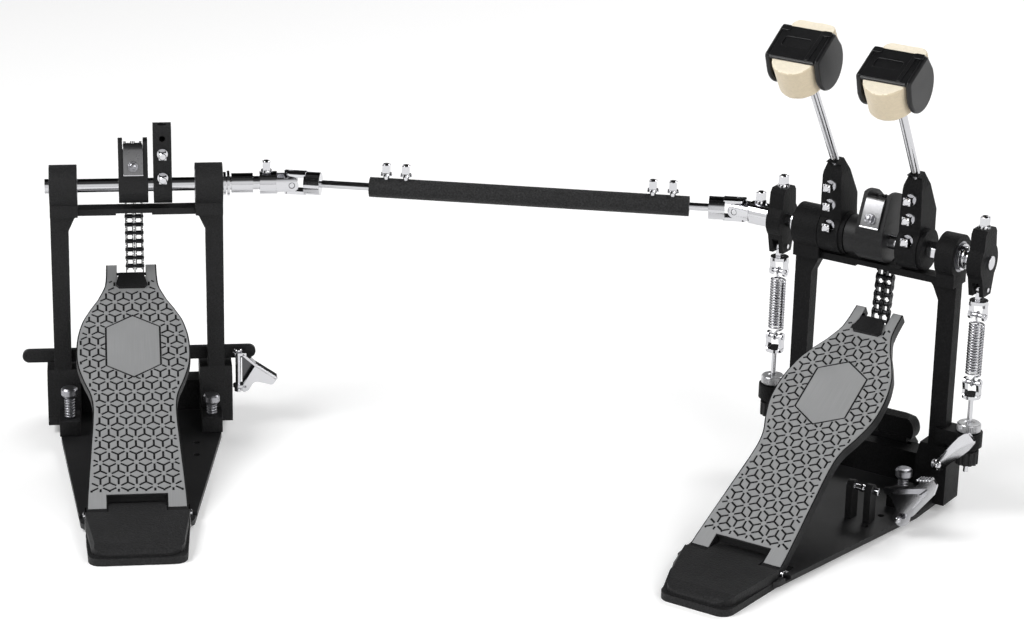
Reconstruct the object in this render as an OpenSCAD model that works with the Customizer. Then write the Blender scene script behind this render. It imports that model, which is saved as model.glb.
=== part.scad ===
// Double bass drum pedal: a primary pedal, a slave pedal and the drive bar between them.
// Millimetres. X runs along the primary shaft, Y points at the drum, Z is up.
// The origin is on the floor under the middle of the primary shaft.

/* [Layout] */
// Height of both shafts above the floor
shaft_z = 188.5; // [180:0.5:200]
// Slave shaft centre from the primary shaft centre, along X
slave_x = -493; // [-540:1:-450]
// Slave shaft centre from the primary shaft centre, along Y
slave_y = -216; // [-260:1:-180]
// Turn of the slave pedal about the vertical, degrees
slave_turn = 40.6; // [32:0.1:48]

/* [Frame] */
// Width of a frame over its bearing housings
frame_w = 125; // [122:0.5:132]
// Width of one bearing housing along the shaft
housing_w = 20; // [18:0.5:22]
// Width of the primary pedal's right bearing housing
right_housing_w = 13.5; // [13:0.5:20]
// Outer radius of a bearing housing
housing_r = 15.5; // [14:0.5:18]
// Depth of the block under a housing
neck_depth = 20; // [16:1:24]
// Width of a post
post_w = 12.4; // [10:0.2:15]
// Depth of a post
post_depth = 10; // [8:0.5:14]
// Drop from the shaft axis to the top of the crossbar
crossbar_drop = 16.2; // [15.5:0.1:18]
// Thickness of the crossbar
crossbar_t = 5; // [4:0.5:7]
// Depth of the crossbar
crossbar_depth = 12; // [9:0.5:12]
// Inner face of a foot from the middle of the frame
foot_in = 44; // [42:0.5:46]
// Outer face of a foot from the middle of the frame
foot_out = 68; // [66:0.5:69]
// Height of a foot above the floor
foot_z = 48; // [42:1:48]
// Front face of a foot, towards the drum
foot_front = 32; // [28:1:34]
// Length of the ledge that carries a spur
ledge_len = 23; // [20:1:27]
// Height of the ledge that carries a spur
ledge_z = 18; // [16:0.5:20]

/* [Base] */
// Height of the underside of the base plate above the floor
base_gap = 2.5; // [2:0.5:3]
// Thickness of the base plate
base_t = 4; // [3:0.5:4]
// Rear end of the base plate
base_rear = 194; // [190:1:198]
// Half width of the base plate at its rear end
base_rear_half = 39; // [38.5:0.5:42]

/* [Heel] */
// Middle of the footboard and heel plate, along X from the middle of the frame
board_x = -4.8; // [-5:0.1:-4.6]
// Hinge pin behind the shaft
pin_back = 181; // [176:1:186]
// Height of the hinge pin
pin_z = 7.2; // [7:0.1:7.6]
// Diameter of the hinge pin
pin_d = 4.4; // [4:0.1:5]
// Length of the heel plate behind the hinge pin
heel_len = 69; // [65:1:85]
// Width of the heel plate
heel_w = 72; // [70:0.5:75]
// Height of the top of the heel plate
heel_z = 12.2; // [11.4:0.1:12.6]
// How far the left side of the primary heel plate runs inwards
primary_heel_taper = 15; // [2:0.5:20]
// How far the left side of the slave heel plate runs inwards
slave_heel_taper = 2; // [2:0.5:20]

/* [Footboard] */
// Rest tilt of the primary footboard, degrees
primary_tilt = 30.8; // [29.5:0.1:32]
// Rest tilt of the slave footboard, degrees
slave_tilt = 27.8; // [27:0.1:29]
// Length of a footboard from its hinge pin to its toe
board_len = 233; // [226:1:240]
// Thickness of a footboard
board_t = 7; // [5:0.5:8]
// Top of a footboard above its hinge pin
board_top = 3.6; // [3.4:0.1:4]
// Widest part of a footboard
board_w = 82; // [78:0.5:90]

/* [Shafts] */
// Diameter of the shafts
shaft_d = 10; // [9:0.5:11]
// Outer diameter of a bearing
bearing_d = 22; // [19:0.5:24]
// Width of a bearing
bearing_w = 6; // [5:0.5:8]
// Middle of the cam seat, along X from the middle of the frame
cam_x = -2; // [-2.4:0.1:-1.6]
// Pitch radius of the chain on the cam
cam_pitch_r = 22; // [21.5:0.1:22.5]
// Cam centre in front of the shaft
cam_fwd = 1; // [0:0.1:2]
// Cam centre above the shaft
cam_up = 7; // [6:0.1:8]
// Cam flange past the pitch radius
cam_rim = 5.4; // [3:0.1:6]
// Width of a hub along the shaft
hub_w = 16; // [15:0.1:18]

/* [Chain] */
// Pitch of the chain
chain_pitch = 6.35; // [6.3:0.01:6.4]
// Distance between the two strands
strand_gap = 6.4; // [6.2:0.1:6.8]
// Links on the primary chain from its guide links to the toe
primary_run_links = 11; // [11:1:11]
// Links on the slave chain from its guide links to the toe
slave_run_links = 13; // [13:1:13]

/* [Beaters] */
// Lean of a beater rod from the vertical, degrees
beater_lean = 30; // [27:0.5:31]
// Extra lean of the secondary beater and its hub, degrees
secondary_lean = 3.5; // [0:0.5:5]
// Diameter of a beater rod
beater_rod_d = 6.4; // [6:0.1:7]
// Primary head centre along its rod from the hub mouth
primary_reach = 85.5; // [70:0.5:100]
// Secondary head centre along its rod from the hub mouth
secondary_reach = 100; // [80:1:110]
// Width of a felt block
felt_w = 32.6; // [30:0.2:36]
// Length of a felt block from its striking face to its back
felt_len = 50; // [46:1:56]
// Height of a felt block along its rod
felt_h = 25; // [22:0.5:30]
// Wall of the cradle at the sides of a felt block
cradle_wall = 4; // [3:0.5:5]

/* [Springs] */
// Middle of a rocker and its spring from the middle of the frame
rocker_x = 78; // [78:0.5:80]
// Thickness of a rocker
rocker_w = 11; // [10:0.5:12]
// Pin of a stirrup below the shaft axis
stirrup_drop = 20; // [19:0.5:21]
// Height of the pin that holds the lower end of a spring
spring_foot_z = 99; // [97:0.5:100]
// Outer diameter of a spring
spring_d = 12.2; // [9:0.1:12.4]
// Diameter of the spring wire
wire_d = 1.5; // [1.2:0.1:1.6]
// Curls of one spring
spring_curls = 19; // [15:1:19]
// Diameter of a tension rod
tension_d = 3.6; // [3:0.1:4]
// Height of the top of the ear that a tension rod passes
ear_z = 62.5; // [60:0.5:64]
// Thickness of that ear
ear_t = 10.5; // [9:0.5:11]

/* [Drive] */
// Joint centre from the middle of a frame, along its shaft
joint_reach = 112.5; // [110:0.5:116]
// Outer radius of a joint yoke
yoke_r = 8.4; // [8:0.1:9]
// Outer diameter of the drive tube
tube_d = 14.6; // [13:0.2:16]
// Diameter of the drive rods
drive_rod_d = 5.6; // [5:0.1:6.4]
// Length of the drive tube
tube_len = 233; // [220:1:250]

/* [Hidden] */
$fn = 64;

black = "#26262a";
chrome = "#c9ccd0";
cream = "#e6dcc3";
dark_steel = "#3a3a3e";
eps = 0.01;

// Clearances
seat = 0.02;      // round parts fixed in each other
run = 0.06;       // a turning pin or shaft in its hole
gap = 0.3;        // neighbours that don't touch

// Frame
housing_out = frame_w / 2;
housing_in = housing_out - housing_w;
right_in = housing_out - right_housing_w;
post_in = housing_out - post_w;
crossbar_top = shaft_z - crossbar_drop;
crossbar_bottom = crossbar_top - crossbar_t;
foot_back = -11;
foot_corner = 12;      // the outer face of a foot ends here, and slopes inwards to its front
base_top = base_gap + base_t;
shoulder = 7;      // width of the slope between the crossbar and a post
primary_spur_x = 42;
slave_spur_x = 52;
slave_spur_rise = 8;    // the left spur of the slave pedal is screwed up this far
ledge_half = 7.5;
ledge_out = 59.5;      // outer face of the ledge
hoop_seat = 30;      // half width of the plate that slides under a hoop
spur_y = foot_back - ledge_len + 10;
ear_half = 8;
ear_r = 10;

// Shafts
shaft_r = shaft_d / 2;
bearing_r = bearing_d / 2;
bore_r = shaft_r + 1.2;
hub_side = housing_in - 0.5;             // outer face of a hub beside its housing
primary_hub_x = 18.6;
secondary_hub_x = -hub_side;
rocker_in = rocker_x - rocker_w / 2;

// Hub profile, in Y and Z from the shaft axis
hub_round = 15.5;
slave_round = 13.5;
hub_boss = 3.4;        // the round part of a hub is this much wider than its clamp
hub_back = 10;
hub_mouth = 54.5;      // mouth of the rod hole above the shaft
hub_mouth_y = -6;
screw_rows = [37, 23, 7.5];
slave_hub_x = 12.6;
slave_hub_w = 13.2;
slave_hub_back = 9;
screw_r = 2.2;         // shank of a square headed screw
screw_flange_r = 4.4;

// Cam
seat_w = 14.8;
flange_w = 3.2;
cam_c = [cam_fwd, cam_up];
flange_r = cam_pitch_r + cam_rim;
seat_r = cam_pitch_r - 3;
cam_cut = -2;          // the flanges stop this far from the shaft's level
cam_back = [[-14.5, 10], [-4.5, 33]];

// Chain
plate_t = 0.75;
plate_r = 2.85;
roller_r = 1.65;
link_pin_r = 1.1;
strand_in = 1.65;      // inner face of an inner plate from its strand's middle
link_step = 2 * asin(chain_pitch / 2 / cam_pitch_r);
wrap_links = 3;
toe_pin_s = 226.5;     // toe end of the chain along a footboard
toe_pin_h = board_top - 3;
slot_half = 10.6;
toe_play = 1.7;        // the toe pin is loose in the footboard's hole
slot_s = 221.5;
cover_t = 2.8;         // the black cover at the toe, and half of its outline from the slot's start
cover = [[8.6, 1.4], [11.6, -10], [9.4, -12.6]];

// Footboard outline: [distance from the hinge pin, half width as a share of the widest]
board_key = [
    [0, 0.852], [21.7, 0.828], [60, 0.768], [92, 0.728], [106, 0.762], [120, 0.882],
    [134, 0.975], [147, 1.0], [163, 0.968], [177, 0.882], [188, 0.752], [198, 0.612],
    [212, 0.478], [233, 0.45]
];
board_steps = 4;
lug_r = 4.4;
lug_in = 20.6;
notch_s = 14;

// Heel
pin_y = -pin_back;
tongue_half = 20;
heel_rim = 5.2;       // height of the rim
head_r = 2.7;         // ends of the hinge pin
head_t = 2;

// Springs
spring_top_z = shaft_z - stirrup_drop - 19.5;   // cross pin of the upper stirrup
cross_pin_r = 1.6;
shackle_half = 6.2;
rings_per_curl = 8;
wire_sides = 6;
coil_r = (spring_d - wire_d) / 2;
end_stub = 4.2;      // height of the drawn-in end of a spring
coil_play = 0.1;     // between a spring and the pins that hold it
nut_h = 7.5;
nut_r = 8.5;
knob_r = 8.2;
knob_h = 13;

// Drive bar
fork_gap = 5.2;
fork_t = 3.4;
fork_half = 5;
web_x = 10.4;
trunnion_r = 2;
slave_joint = [
    slave_x + joint_reach * cos(slave_turn), slave_y + joint_reach * sin(slave_turn), shaft_z
];
primary_joint = [-joint_reach, 0, shaft_z];
bar_vec = primary_joint - slave_joint;
bar_turn = atan2(bar_vec.y, bar_vec.x);
bar_len = norm(bar_vec);
yoke_end = 22;
secondary_collar = joint_reach - rocker_in - rocker_w - 0.8;      // ends of the yokes' collars
slave_coupling = 84.5;         // end of the coupling on the slave shaft
slave_collar = joint_reach - slave_coupling - 4.9;
secondary_yoke_screw = web_x + 0.37 * (secondary_collar - web_x);      // screws in those collars
slave_yoke_screw = web_x + 0.6 * (slave_collar - web_x);
tube_right = 36.3;    // from the right joint to the tube
tube_end = bar_len - tube_right;
tube_start = tube_end - tube_len;
insert_len = 45;      // drive rod inside the tube
telescope = 24;       // room for the left rod to slide further in
drive_screws = [12, 26.5];
drive_screw_out = 2.6;         // their flanges stand off the tube

// Placing
module at_slave() translate([slave_x, slave_y, 0]) rotate(slave_turn) children();
module at_bar() translate(slave_joint) rotate(bar_turn) children();
module at_shaft() translate([0, 0, shaft_z]) children();
module at_secondary() at_shaft() rotate([secondary_lean, 0, 0]) children();

// A profile drawn in Y and Z, from x0 along X
module yz(x0, length) translate([x0, 0, 0]) rotate([90, 0, 90]) linear_extrude(length) children();

// A round bar along X
module rod_x(x0, x1, r) translate([x0, 0, 0]) rotate([0, 90, 0]) cylinder(h = x1 - x0, r = r);

// A box given by its two corners
module box(low, high) translate(low) cube(high - low);

module both_sides() for (side = [0, 1]) mirror([side, 0, 0]) children();

// Frame: two posts with bearing housings, the crossbar, the feet and the bridge between them
module frame_half(inner, spur_x) {
    yz_side = [[foot_back, base_top], [foot_front, base_top], [foot_front, foot_z - 10],
        [foot_front - 9, foot_z], [-post_depth / 2, foot_z], [foot_back, foot_z - 10]];
    difference() {
        union() {
            at_shaft() rod_x(inner, housing_out, housing_r);
            box([inner, -neck_depth / 2, crossbar_bottom], [housing_out, neck_depth / 2, shaft_z]);
            translate([0, post_depth / 2, 0]) rotate([90, 0, 0]) linear_extrude(post_depth)
                polygon([[post_in - shoulder, crossbar_bottom + eps], [housing_out, crossbar_bottom + eps],
                    [housing_out, foot_z - 5], [post_in, foot_z - 5],
                    [post_in - 0.6, crossbar_bottom - 1.7 * shoulder],
                    [post_in - shoulder + 2, crossbar_bottom - shoulder / 3],
                    [post_in - shoulder, crossbar_bottom]]);
            intersection() {
                yz(foot_in, foot_out - foot_in) polygon(yz_side);
                linear_extrude(foot_z + 1) polygon([[foot_in, foot_back], [foot_out, foot_back],
                    [foot_out, foot_corner], [foot_out - 10, foot_front], [foot_in, foot_front]]);
            }
            box([spur_x - ledge_half, foot_back - ledge_len, base_top],
                [ledge_out, foot_back + eps, ledge_z]);
        }
        at_shaft() rod_x(inner - 1, housing_out + 1, bore_r);
        at_shaft() rod_x(housing_out - bearing_w, housing_out + 1, bearing_r);
        at_shaft() rod_x(inner - 1, inner + bearing_w, bearing_r);
        translate([spur_x, spur_y, 0]) cylinder(h = ledge_z + 1, r = 3.3);
    }
}

module frame(right_inner, spur_x) {
    mirror([1, 0, 0]) frame_half(housing_in, spur_x);
    frame_half(right_inner, spur_x);
    difference() {
        box([-housing_in - eps, -crossbar_depth / 2, crossbar_bottom],
            [right_inner + eps, crossbar_depth / 2, crossbar_top]);
        box([cam_x - 13, -crossbar_depth, crossbar_bottom - 1],
            [cam_x + 13, crossbar_depth, crossbar_bottom + 1.4]);
    }
    difference() {
        box([-foot_in - eps, foot_front - 18, base_top], [foot_in + eps, foot_front, 30]);
        box([-22, foot_front - 6, base_top - 1], [22, foot_front + 1, 31]);
    }
}

// Ears on the primary frame that the tension rods pass
module spring_ear() {
    difference() {
        translate([0, 0, ear_z - ear_t]) linear_extrude(ear_t) {
            translate([housing_out - 6, -ear_half]) square([rocker_x - housing_out + 6, 2 * ear_half]);
            translate([rocker_x, 0]) circle(ear_r);
        }
        translate([rocker_x, 0, 0]) cylinder(h = ear_z + 1, r = tension_d / 2 + run);
    }
}

module primary_frame() color(black) {
    frame(right_in, primary_spur_x);
    both_sides() spring_ear();
}

// Base plate with its floor strips
module base_plate(spur_x) {
    rear = -base_rear;
    spread = ledge_out - 1;
    difference() {
        union() {
            translate([0, 0, base_gap]) linear_extrude(base_t) polygon([
                [board_x - base_rear_half + 5, rear - 4], [board_x - base_rear_half, rear + 3],
                [-spread, foot_back - ledge_len], [-spread, foot_front - 2], [-hoop_seat, foot_front],
                [-hoop_seat, foot_front + 20], [hoop_seat, foot_front + 20], [hoop_seat, foot_front],
                [spread, foot_front - 2], [spread, foot_back - ledge_len],
                [board_x + base_rear_half, rear + 3], [board_x + base_rear_half - 5, rear - 4]
            ]);
            for (x = [-48, 0, 48])
                box([x - 8, foot_back - 10, 0], [x + 8, foot_front - 4, base_gap + eps]);
            for (x = [-30, 30])
                box([board_x + x - 5, -150, 0], [board_x + x + 5, -90, base_gap + eps]);
        }
        box([board_x - heel_w / 2 - gap, rear - 5, 0],
            [board_x + heel_w / 2 + gap, pin_y + 16, base_top + 1]);
        box([-foot_out, pin_y - head_r - gap, pin_z - head_r - gap],
            [foot_out, pin_y + head_r + gap, base_top + 1]);
        both_sides() translate([spur_x, spur_y, -1]) cylinder(h = 20, r = 3.3);
        for (y = [-52, -75]) translate([board_x + 46 + y * 0.03, y, 0])
            cylinder(h = 20, r = 2.4);
    }
}

module primary_base_plate() color(black) {
    base_plate(primary_spur_x);
    difference() {
        for (x = clamp_blocks) translate([x, clamp_y, 0]) yz(0, clamp_block_w) {
            translate([0, clamp_z]) circle(4.6);
            translate([-4.6, base_top - eps]) square([9.2, clamp_z - base_top]);
        }
        translate([0, clamp_y, clamp_z]) rod_x(0, 60, 2.5 + run);
    }
}

// Heel plate: a low rim with a wedge on it whose sides slope inwards, and a knuckle for the hinge pin
module heel_outline(left_in, right_in, rear, front, corner) {
    half = heel_w / 2;
    left = -half + left_in + corner;
    right = half - right_in - corner;
    polygon([[-half, front], [-half + left_in * 0.3, (front + rear + corner) / 2],
        [-half + left_in, rear + corner], [half - right_in, rear + corner], [half, front]]);
    translate([left, rear]) square([right - left, corner + eps]);
    for (x = [left, right]) translate([x, rear + corner]) circle(corner);
}

module heel_plate(taper) translate([board_x, 0, 0]) {
    half = heel_w / 2;
    rear = pin_y - heel_len;
    body_end = pin_y - lug_r - 1.2;
    difference() {
        union() {
            linear_extrude(heel_rim) heel_outline(taper, 3, rear, body_end, 9);
            intersection() {
                yz(-half - 1, heel_w + 2) polygon([
                    [rear + 2.5, 0], [body_end, 0], [body_end, heel_z],
                    [rear + 14, heel_z - 0.8], [rear + 6.5, heel_z - 2.4], [rear + 2.5, heel_z - 5]
                ]);
                linear_extrude(30) heel_outline(taper + 2, 5, rear + 2.5, body_end, 12);
            }
            box([-tongue_half, body_end - eps, heel_z - 9], [tongue_half, pin_y + 2, heel_z]);
            box([-tongue_half, pin_y, heel_z - 5.7], [tongue_half, pin_y + 8.6, heel_z]);
        }
        for (side = [-1, 1]) translate([side * half, body_end, heel_z])
            rotate([0, 0, side * -atan(((side < 0 ? taper : 0) + 8) / heel_len)])
            rotate([0, side * -42, 0]) box([side < 0 ? -30 : 0, -90, heel_rim - heel_z],
                [side < 0 ? 0 : 30, 0, 30]);
        translate([0, pin_y, pin_z]) rod_x(-half - 2, half + 2, pin_d / 2 + seat);
    }
}

module primary_heel_plate() color(black) heel_plate(primary_heel_taper);

module hinge_pin() translate([board_x, pin_y, pin_z]) {
    head_in = board_half(0) + 0.5;
    rod_x(-head_in, head_in, pin_d / 2);
    for (side = [-1, 1]) rod_x(side > 0 ? head_in - eps : -head_in - head_t,
        side > 0 ? head_in + head_t : -head_in + eps, head_r);
}

module primary_hinge_pin() color(chrome) hinge_pin();

// Ball bearings, as sealed rings with a groove between their races
module bearing() {
    difference() {
        rod_x(0, bearing_w, bearing_r - seat);
        rod_x(-1, bearing_w + 1, shaft_r + run);
        for (x = [-1, bearing_w - 0.7]) difference() {
            rod_x(x, x + 1.7, bearing_r - 2.2);
            rod_x(x - 1, x + 2.7, shaft_r + 1.8);
        }
    }
}

module bearings(right_inner = housing_in) at_shaft()
    for (x = [-housing_out, -housing_in - bearing_w, right_inner, housing_out - bearing_w])
        translate([x, 0, 0]) bearing();

module primary_bearings() color(chrome) bearings(right_in);

// Spurs: knurled heads over a spring, on a pointed screw
module spur(rise) {
    for (z = [ledge_z + 1.2:2.1:26 + rise]) translate([0, 0, z]) rotate_extrude()
        translate([3.1, 0]) circle(0.8, $fn = 16);
    translate([0, 0, rise]) {
        translate([0, 0, 0.6]) cylinder(h = 4, r1 = 0.6, r2 = 2.8);
        translate([0, 0, 4.5]) cylinder(h = 22, r = 2.8);
        translate([0, 0, 26]) cylinder(h = 2.2, r1 = 4.4, r2 = 6);
        translate([0, 0, 28.1]) cylinder(h = 4, r = 6);
        translate([0, 0, 32]) cylinder(h = 1.3, r1 = 6, r2 = 5);
        translate([0, 0, 33.2]) cylinder(h = 0.8, r1 = 5, r2 = 3.2);
    }
}

module spurs(spur_x, left_rise) for (side = [-1, 1])
    translate([side * spur_x, spur_y, 0]) spur(side < 0 ? left_rise : 0);

module primary_spurs() color(chrome) spurs(primary_spur_x, 0);

// Tension rods: a stirrup on a threaded rod, one each side of the primary frame
module shackle() {
    for (side = [-1, 1]) yz(side > 0 ? shackle_half - 2 : -shackle_half, 2) {
        circle(3.4);
        polygon([[-3.4, 0], [3.4, 0], [2.2, -5], [3.2, -9], [-3.2, -9], [-2.2, -5]]);
    }
    translate([0, 0, -11]) cylinder(h = 2.4, r = shackle_half + 0.4);
    rod_x(-shackle_half - 0.8, shackle_half + 0.8, cross_pin_r);
}

module tension_rod() {
    translate([0, 0, spring_foot_z]) shackle();
    translate([0, 0, 32]) cylinder(h = spring_foot_z - 11 + eps - 32, r = tension_d / 2);
}

module tension_rods() color(chrome) both_sides() translate([rocker_x, 0, 0]) tension_rod();

module tension_nut() translate([rocker_x, 0, ear_z + gap]) difference() {
    union() {
        cylinder(h = nut_h, r = nut_r);
        translate([0, 0, nut_h - eps]) cylinder(h = 1.6, r1 = nut_r, r2 = nut_r - 1.6);
    }
    translate([0, 0, -1]) cylinder(h = nut_h + 4, r = tension_d / 2 + run);
    for (a = [0:15:345]) rotate(a) translate([nut_r + 0.3, 0, -1])
        cylinder(h = nut_h + 1, r = 0.8, $fn = 16);
}

module left_tension_nut() color(chrome) mirror([1, 0, 0]) tension_nut();
module right_tension_nut() color(chrome) tension_nut();

module lock_knob() translate([rocker_x, 0, ear_z - ear_t - gap - knob_h]) difference() {
    union() {
        cylinder(h = knob_h - 3, r = knob_r);
        translate([0, 0, knob_h - 3 - eps]) cylinder(h = 3 + eps, r = 6);
    }
    translate([0, 0, -1]) cylinder(h = knob_h + 4, r = tension_d / 2 + seat);
    for (a = [0:30:330]) rotate(a) translate([knob_r + 0.6, 0, -1])
        cylinder(h = knob_h - 2, r = 1.4, $fn = 16);
}

module lock_knobs() color(black) both_sides() lock_knob();

// Hoop clamp: a jaw over the front of the primary base plate, with its lever
module hoop_jaw() color(black) {
    difference() {
        union() {
            yz(-18, 36) {
                polygon([[foot_front - 4, 18], [foot_front + 16, 17.5], [foot_front + 17, 24],
                    [foot_front + 8, 33], [foot_front, 36], [foot_front - 4, 33]]);
            }
            intersection() {
                yz(-5, 28) polygon([[foot_front + 2, 30], [foot_front + 8, 32], [foot_front + 7, 47],
                    [foot_front + 3, 50], [foot_front - 4, 48], [foot_front - 4, 34]]);
                translate([0, foot_front + 20, 0]) rotate([90, 0, 0]) linear_extrude(40) {
                    translate([12, 39]) circle(11);
                    translate([-5, 28]) square([17, 22]);
                }
            }
        }
        translate([0, foot_front, 27]) rod_x(-19, 24, 2.6);
    }
    translate([0, foot_front, 27]) rod_x(-21.5, 21.5, 2.5);
}

// Wing lever: a folded chrome bail on an upright pivot at the side of a foot
lever_low = 30;
lever_top = 58;
lever_off = 4.6;      // pivot from the side of the foot
module wing_lever() {
    for (z = [lever_low, lever_top - 2.4]) translate([0, 0, z]) difference() {
        linear_extrude(2.4) {
            circle(4);
            translate([0, -4]) square([6, 8]);
        }
        translate([0, 0, -1]) cylinder(h = 5, r = 2.16);
    }
    translate([0, 4, 0]) rotate([90, 0, 0]) {
        linear_extrude(2) polygon([[3.5, lever_low], [6, 29], [11.3, 35.7], [25.3, 32], [29, 37.2],
            [12.7, 48.6], [3.5, lever_top]]);
        linear_extrude(8) polygon([[3.5, lever_top - 2.4], [12.4, 46.6], [28, 35.8], [29, 37.2], [12.7, 49],
            [3.5, lever_top]]);
        translate([0, 0, 6]) linear_extrude(2) polygon([[12, 47], [2.8, lever_low], [3.5, 26.5], [7.5, 28.8],
            [11.3, 35.7], [25.3, 32], [28.7, 36.5], [12.7, 48]]);
    }
    translate([0, 0, lever_low - 3]) cylinder(h = lever_top - lever_low + 4.5, r = 2.1);
}

// Spoon lever of the primary pedal, on a cross pin at the back of its foot
spoon = [foot_out - 4, foot_back, 40];
module primary_wing_lever() color(chrome) translate(spoon) {
    rotate([90, 0, 0]) translate([0, 0, gap]) cylinder(h = 9.2, r = 4.4);
    rotate([90, 0, 0]) translate([0, 0, 2.6]) linear_extrude(6.9)
        polygon([[-3.6, 2.4], [0.8, -4], [4.8, -4.4], [11.3, 0.6], [22.4, 15.8], [25.6, 21.1], [26, 26.4],
            [18.5, 25.6], [13.6, 20.4], [4.2, 9]]);
}

// Side clamp: a hollow thumb lever on a cross screw under the footboard, drawn in X and Z
clamp_y = -66;
clamp_z = 30;
clamp_x = 44.5;
clamp_rod_in = 19;
clamp_blocks = [clamp_x - 24, clamp_x - 10];
clamp_block_w = 5;
module side_clamp_lever() color(chrome) translate([clamp_x, clamp_y, clamp_z]) {
    rod_x(clamp_rod_in - clamp_x, 2, 2.5);
    rotate([90, 0, 0]) difference() {
        linear_extrude(8, center = true) {
            polygon([[1.5, 3.5], [27.5, 10.5], [28, 16.5], [38, 19], [41, 15], [39, 7.5], [26, -12],
                [21.5, -16], [10, -16], [11.5, -7.5], [7.5, -1.5], [2.5, 0]]);
            translate([15.5, -15.5]) circle(6.2);
        }
        translate([0, 0, -1.5]) linear_extrude(6) polygon([[6.5, 2.5], [27, 8], [33, 7.5], [30, 1], [23, -8],
            [17.5, -10], [14, -6.5], [10.5, -1]]);
        for (i = [0:3]) translate([29 + 2.3 * i, 17 + 0.5 * i, -5])
            cylinder(h = 10, r = 0.7, $fn = 16);
    }
    translate([16, -2, -15]) rotate([90, 0, 0]) cylinder(h = 3, r = 1.6);
}

// Chain links, drawn from one pin to the next in Y and Z
module link_outline(p, q) {
    d = norm(q - p);
    translate(p) circle(plate_r);
    translate(q) circle(plate_r);
    translate(p) rotate(atan2(q.y - p.y, q.x - p.x)) translate([0, -2.2]) square([d, 4.4]);
}

// Inner links carry the rollers, outer links carry the pins
module inner_link(p, q) for (side = [-1, 1]) translate([cam_x + side * strand_gap / 2, 0, 0]) {
    difference() {
        union() {
            for (x = [-strand_in - plate_t, strand_in]) yz(x, plate_t) link_outline(p, q);
            for (c = [p, q]) yz(-strand_in - eps, 2 * strand_in + 2 * eps) translate(c) circle(roller_r);
        }
        for (c = [p, q]) yz(-5, 10) translate(c) circle(link_pin_r + run);
    }
}

module outer_link(p, q) translate([cam_x, 0, 0]) {
    out = strand_gap / 2 + strand_in + plate_t + 0.15;
    half = out + plate_t + 0.4;
    for (x = [-out - plate_t, -plate_t / 2, out]) yz(x, plate_t) link_outline(p, q);
    for (c = [p, q]) yz(-half, 2 * half) translate(c) circle(link_pin_r);
}

module chain(points, first_outer = true) for (i = [0:len(points) - 2])
    if ((i % 2 == 0) == first_outer) outer_link(points[i], points[i + 1]);
    else inner_link(points[i], points[i + 1]);

// Where the chain meets the cam and the toe, in Y and Z, from the tilt and the links of the run
function toe_pin(tilt) = [
    pin_y + toe_pin_s * cos(tilt) - toe_pin_h * sin(tilt),
    pin_z + toe_pin_s * sin(tilt) + toe_pin_h * cos(tilt)
];
function cam_mid() = [cam_fwd, shaft_z + cam_up];
function on_pitch(angle) = cam_mid() + cam_pitch_r * [cos(angle), sin(angle)];
function leave_angle(tilt, links) =
    let (v = toe_pin(tilt) - cam_mid(), d = norm(v), l = (links - 1) * chain_pitch)
    atan2(v.y, v.x) + acos((d * d + cam_pitch_r * cam_pitch_r - l * l) / (2 * d * cam_pitch_r));
function guide(tilt, links, i) = on_pitch(leave_angle(tilt, links) + i * link_step);

module chain_run(tilt, links) {
    top = guide(tilt, links, 0);
    toe = toe_pin(tilt);
    chain([guide(tilt, links, 1), for (i = [0:links - 1]) top + (toe - top) * i / (links - 1)]);
    yz(board_x - slot_half - 2, 2 * slot_half + 4) translate(toe) circle(link_pin_r);
}
module chain_middle(tilt, links)
    chain([guide(tilt, links, 2), guide(tilt, links, 1)], first_outer = false);
module chain_upper(tilt, links) chain([guide(tilt, links, 3), guide(tilt, links, 2)]);
module chain_wrap(tilt, links)
    chain([for (i = [0:wrap_links]) guide(tilt, links, 3 + i)], first_outer = false);

// Cam: two flanges and a seat, with a boss on the shaft
module cam_profile(r, bottom_r) {
    intersection() {
        translate(cam_c) circle(r);
        polygon([[cam_back[0].x, cam_cut], cam_back[0], cam_back[1], [0, 40], [45, 40], [45, cam_cut]]);
    }
    circle(bottom_r);
}

module cam(tilt, links, bottom_r) {
    at_shaft() difference() {
        union() {
            for (x = [-seat_w / 2 - flange_w, seat_w / 2])
                yz(cam_x + x, flange_w) cam_profile(flange_r, bottom_r);
            yz(cam_x - seat_w / 2 - eps, seat_w + 2 * eps) cam_profile(seat_r, bottom_r);
        }
        rod_x(-30, 30, shaft_r + seat);
        at_clip() translate([0, clip_screw_y, -clip_screw - 1])
            cylinder(h = clip_screw + 2, r = screw_r + seat);
    }
    chain_wrap(tilt, links);
}

module primary_cam() color(dark_steel) {
    cam(primary_tilt, primary_run_links, hub_round);
    at_shaft() difference() {
        rod_x(sleeve_end, cam_x - seat_w / 2 - flange_w + eps, hub_round - 1.6);
        rod_x(sleeve_end - 1, 0, shaft_r + seat);
    }
}

// Chain clip: a plate on the back of the cam with flanged ends and its screw
clip_screw = 4.2;      // how far the screw goes into the cam
clip_screw_y = -5;     // along the clip from its middle
clip_half = seat_w / 2 - gap;
clip_end = 11.6;
module at_clip() {
    mid = (cam_back[0] + cam_back[1]) / 2;
    dir = cam_back[1] - cam_back[0];
    translate([cam_x, mid.x, mid.y]) rotate([atan2(dir.y, dir.x), 0, 0]) children();
}

module chain_clip() at_shaft() at_clip() {
    box([-clip_half, -clip_end, gap], [clip_half, clip_end, gap + 1.4]);
    box([-clip_half, -clip_end, gap], [clip_half, -clip_end + 1.2, 2.8]);
    box([-clip_half, clip_end - 1.2, gap], [clip_half, clip_end, 2.4]);
    translate([0, clip_screw_y, gap + 1.3]) key_screw(-gap - 1.3 - clip_screw);
}

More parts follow.
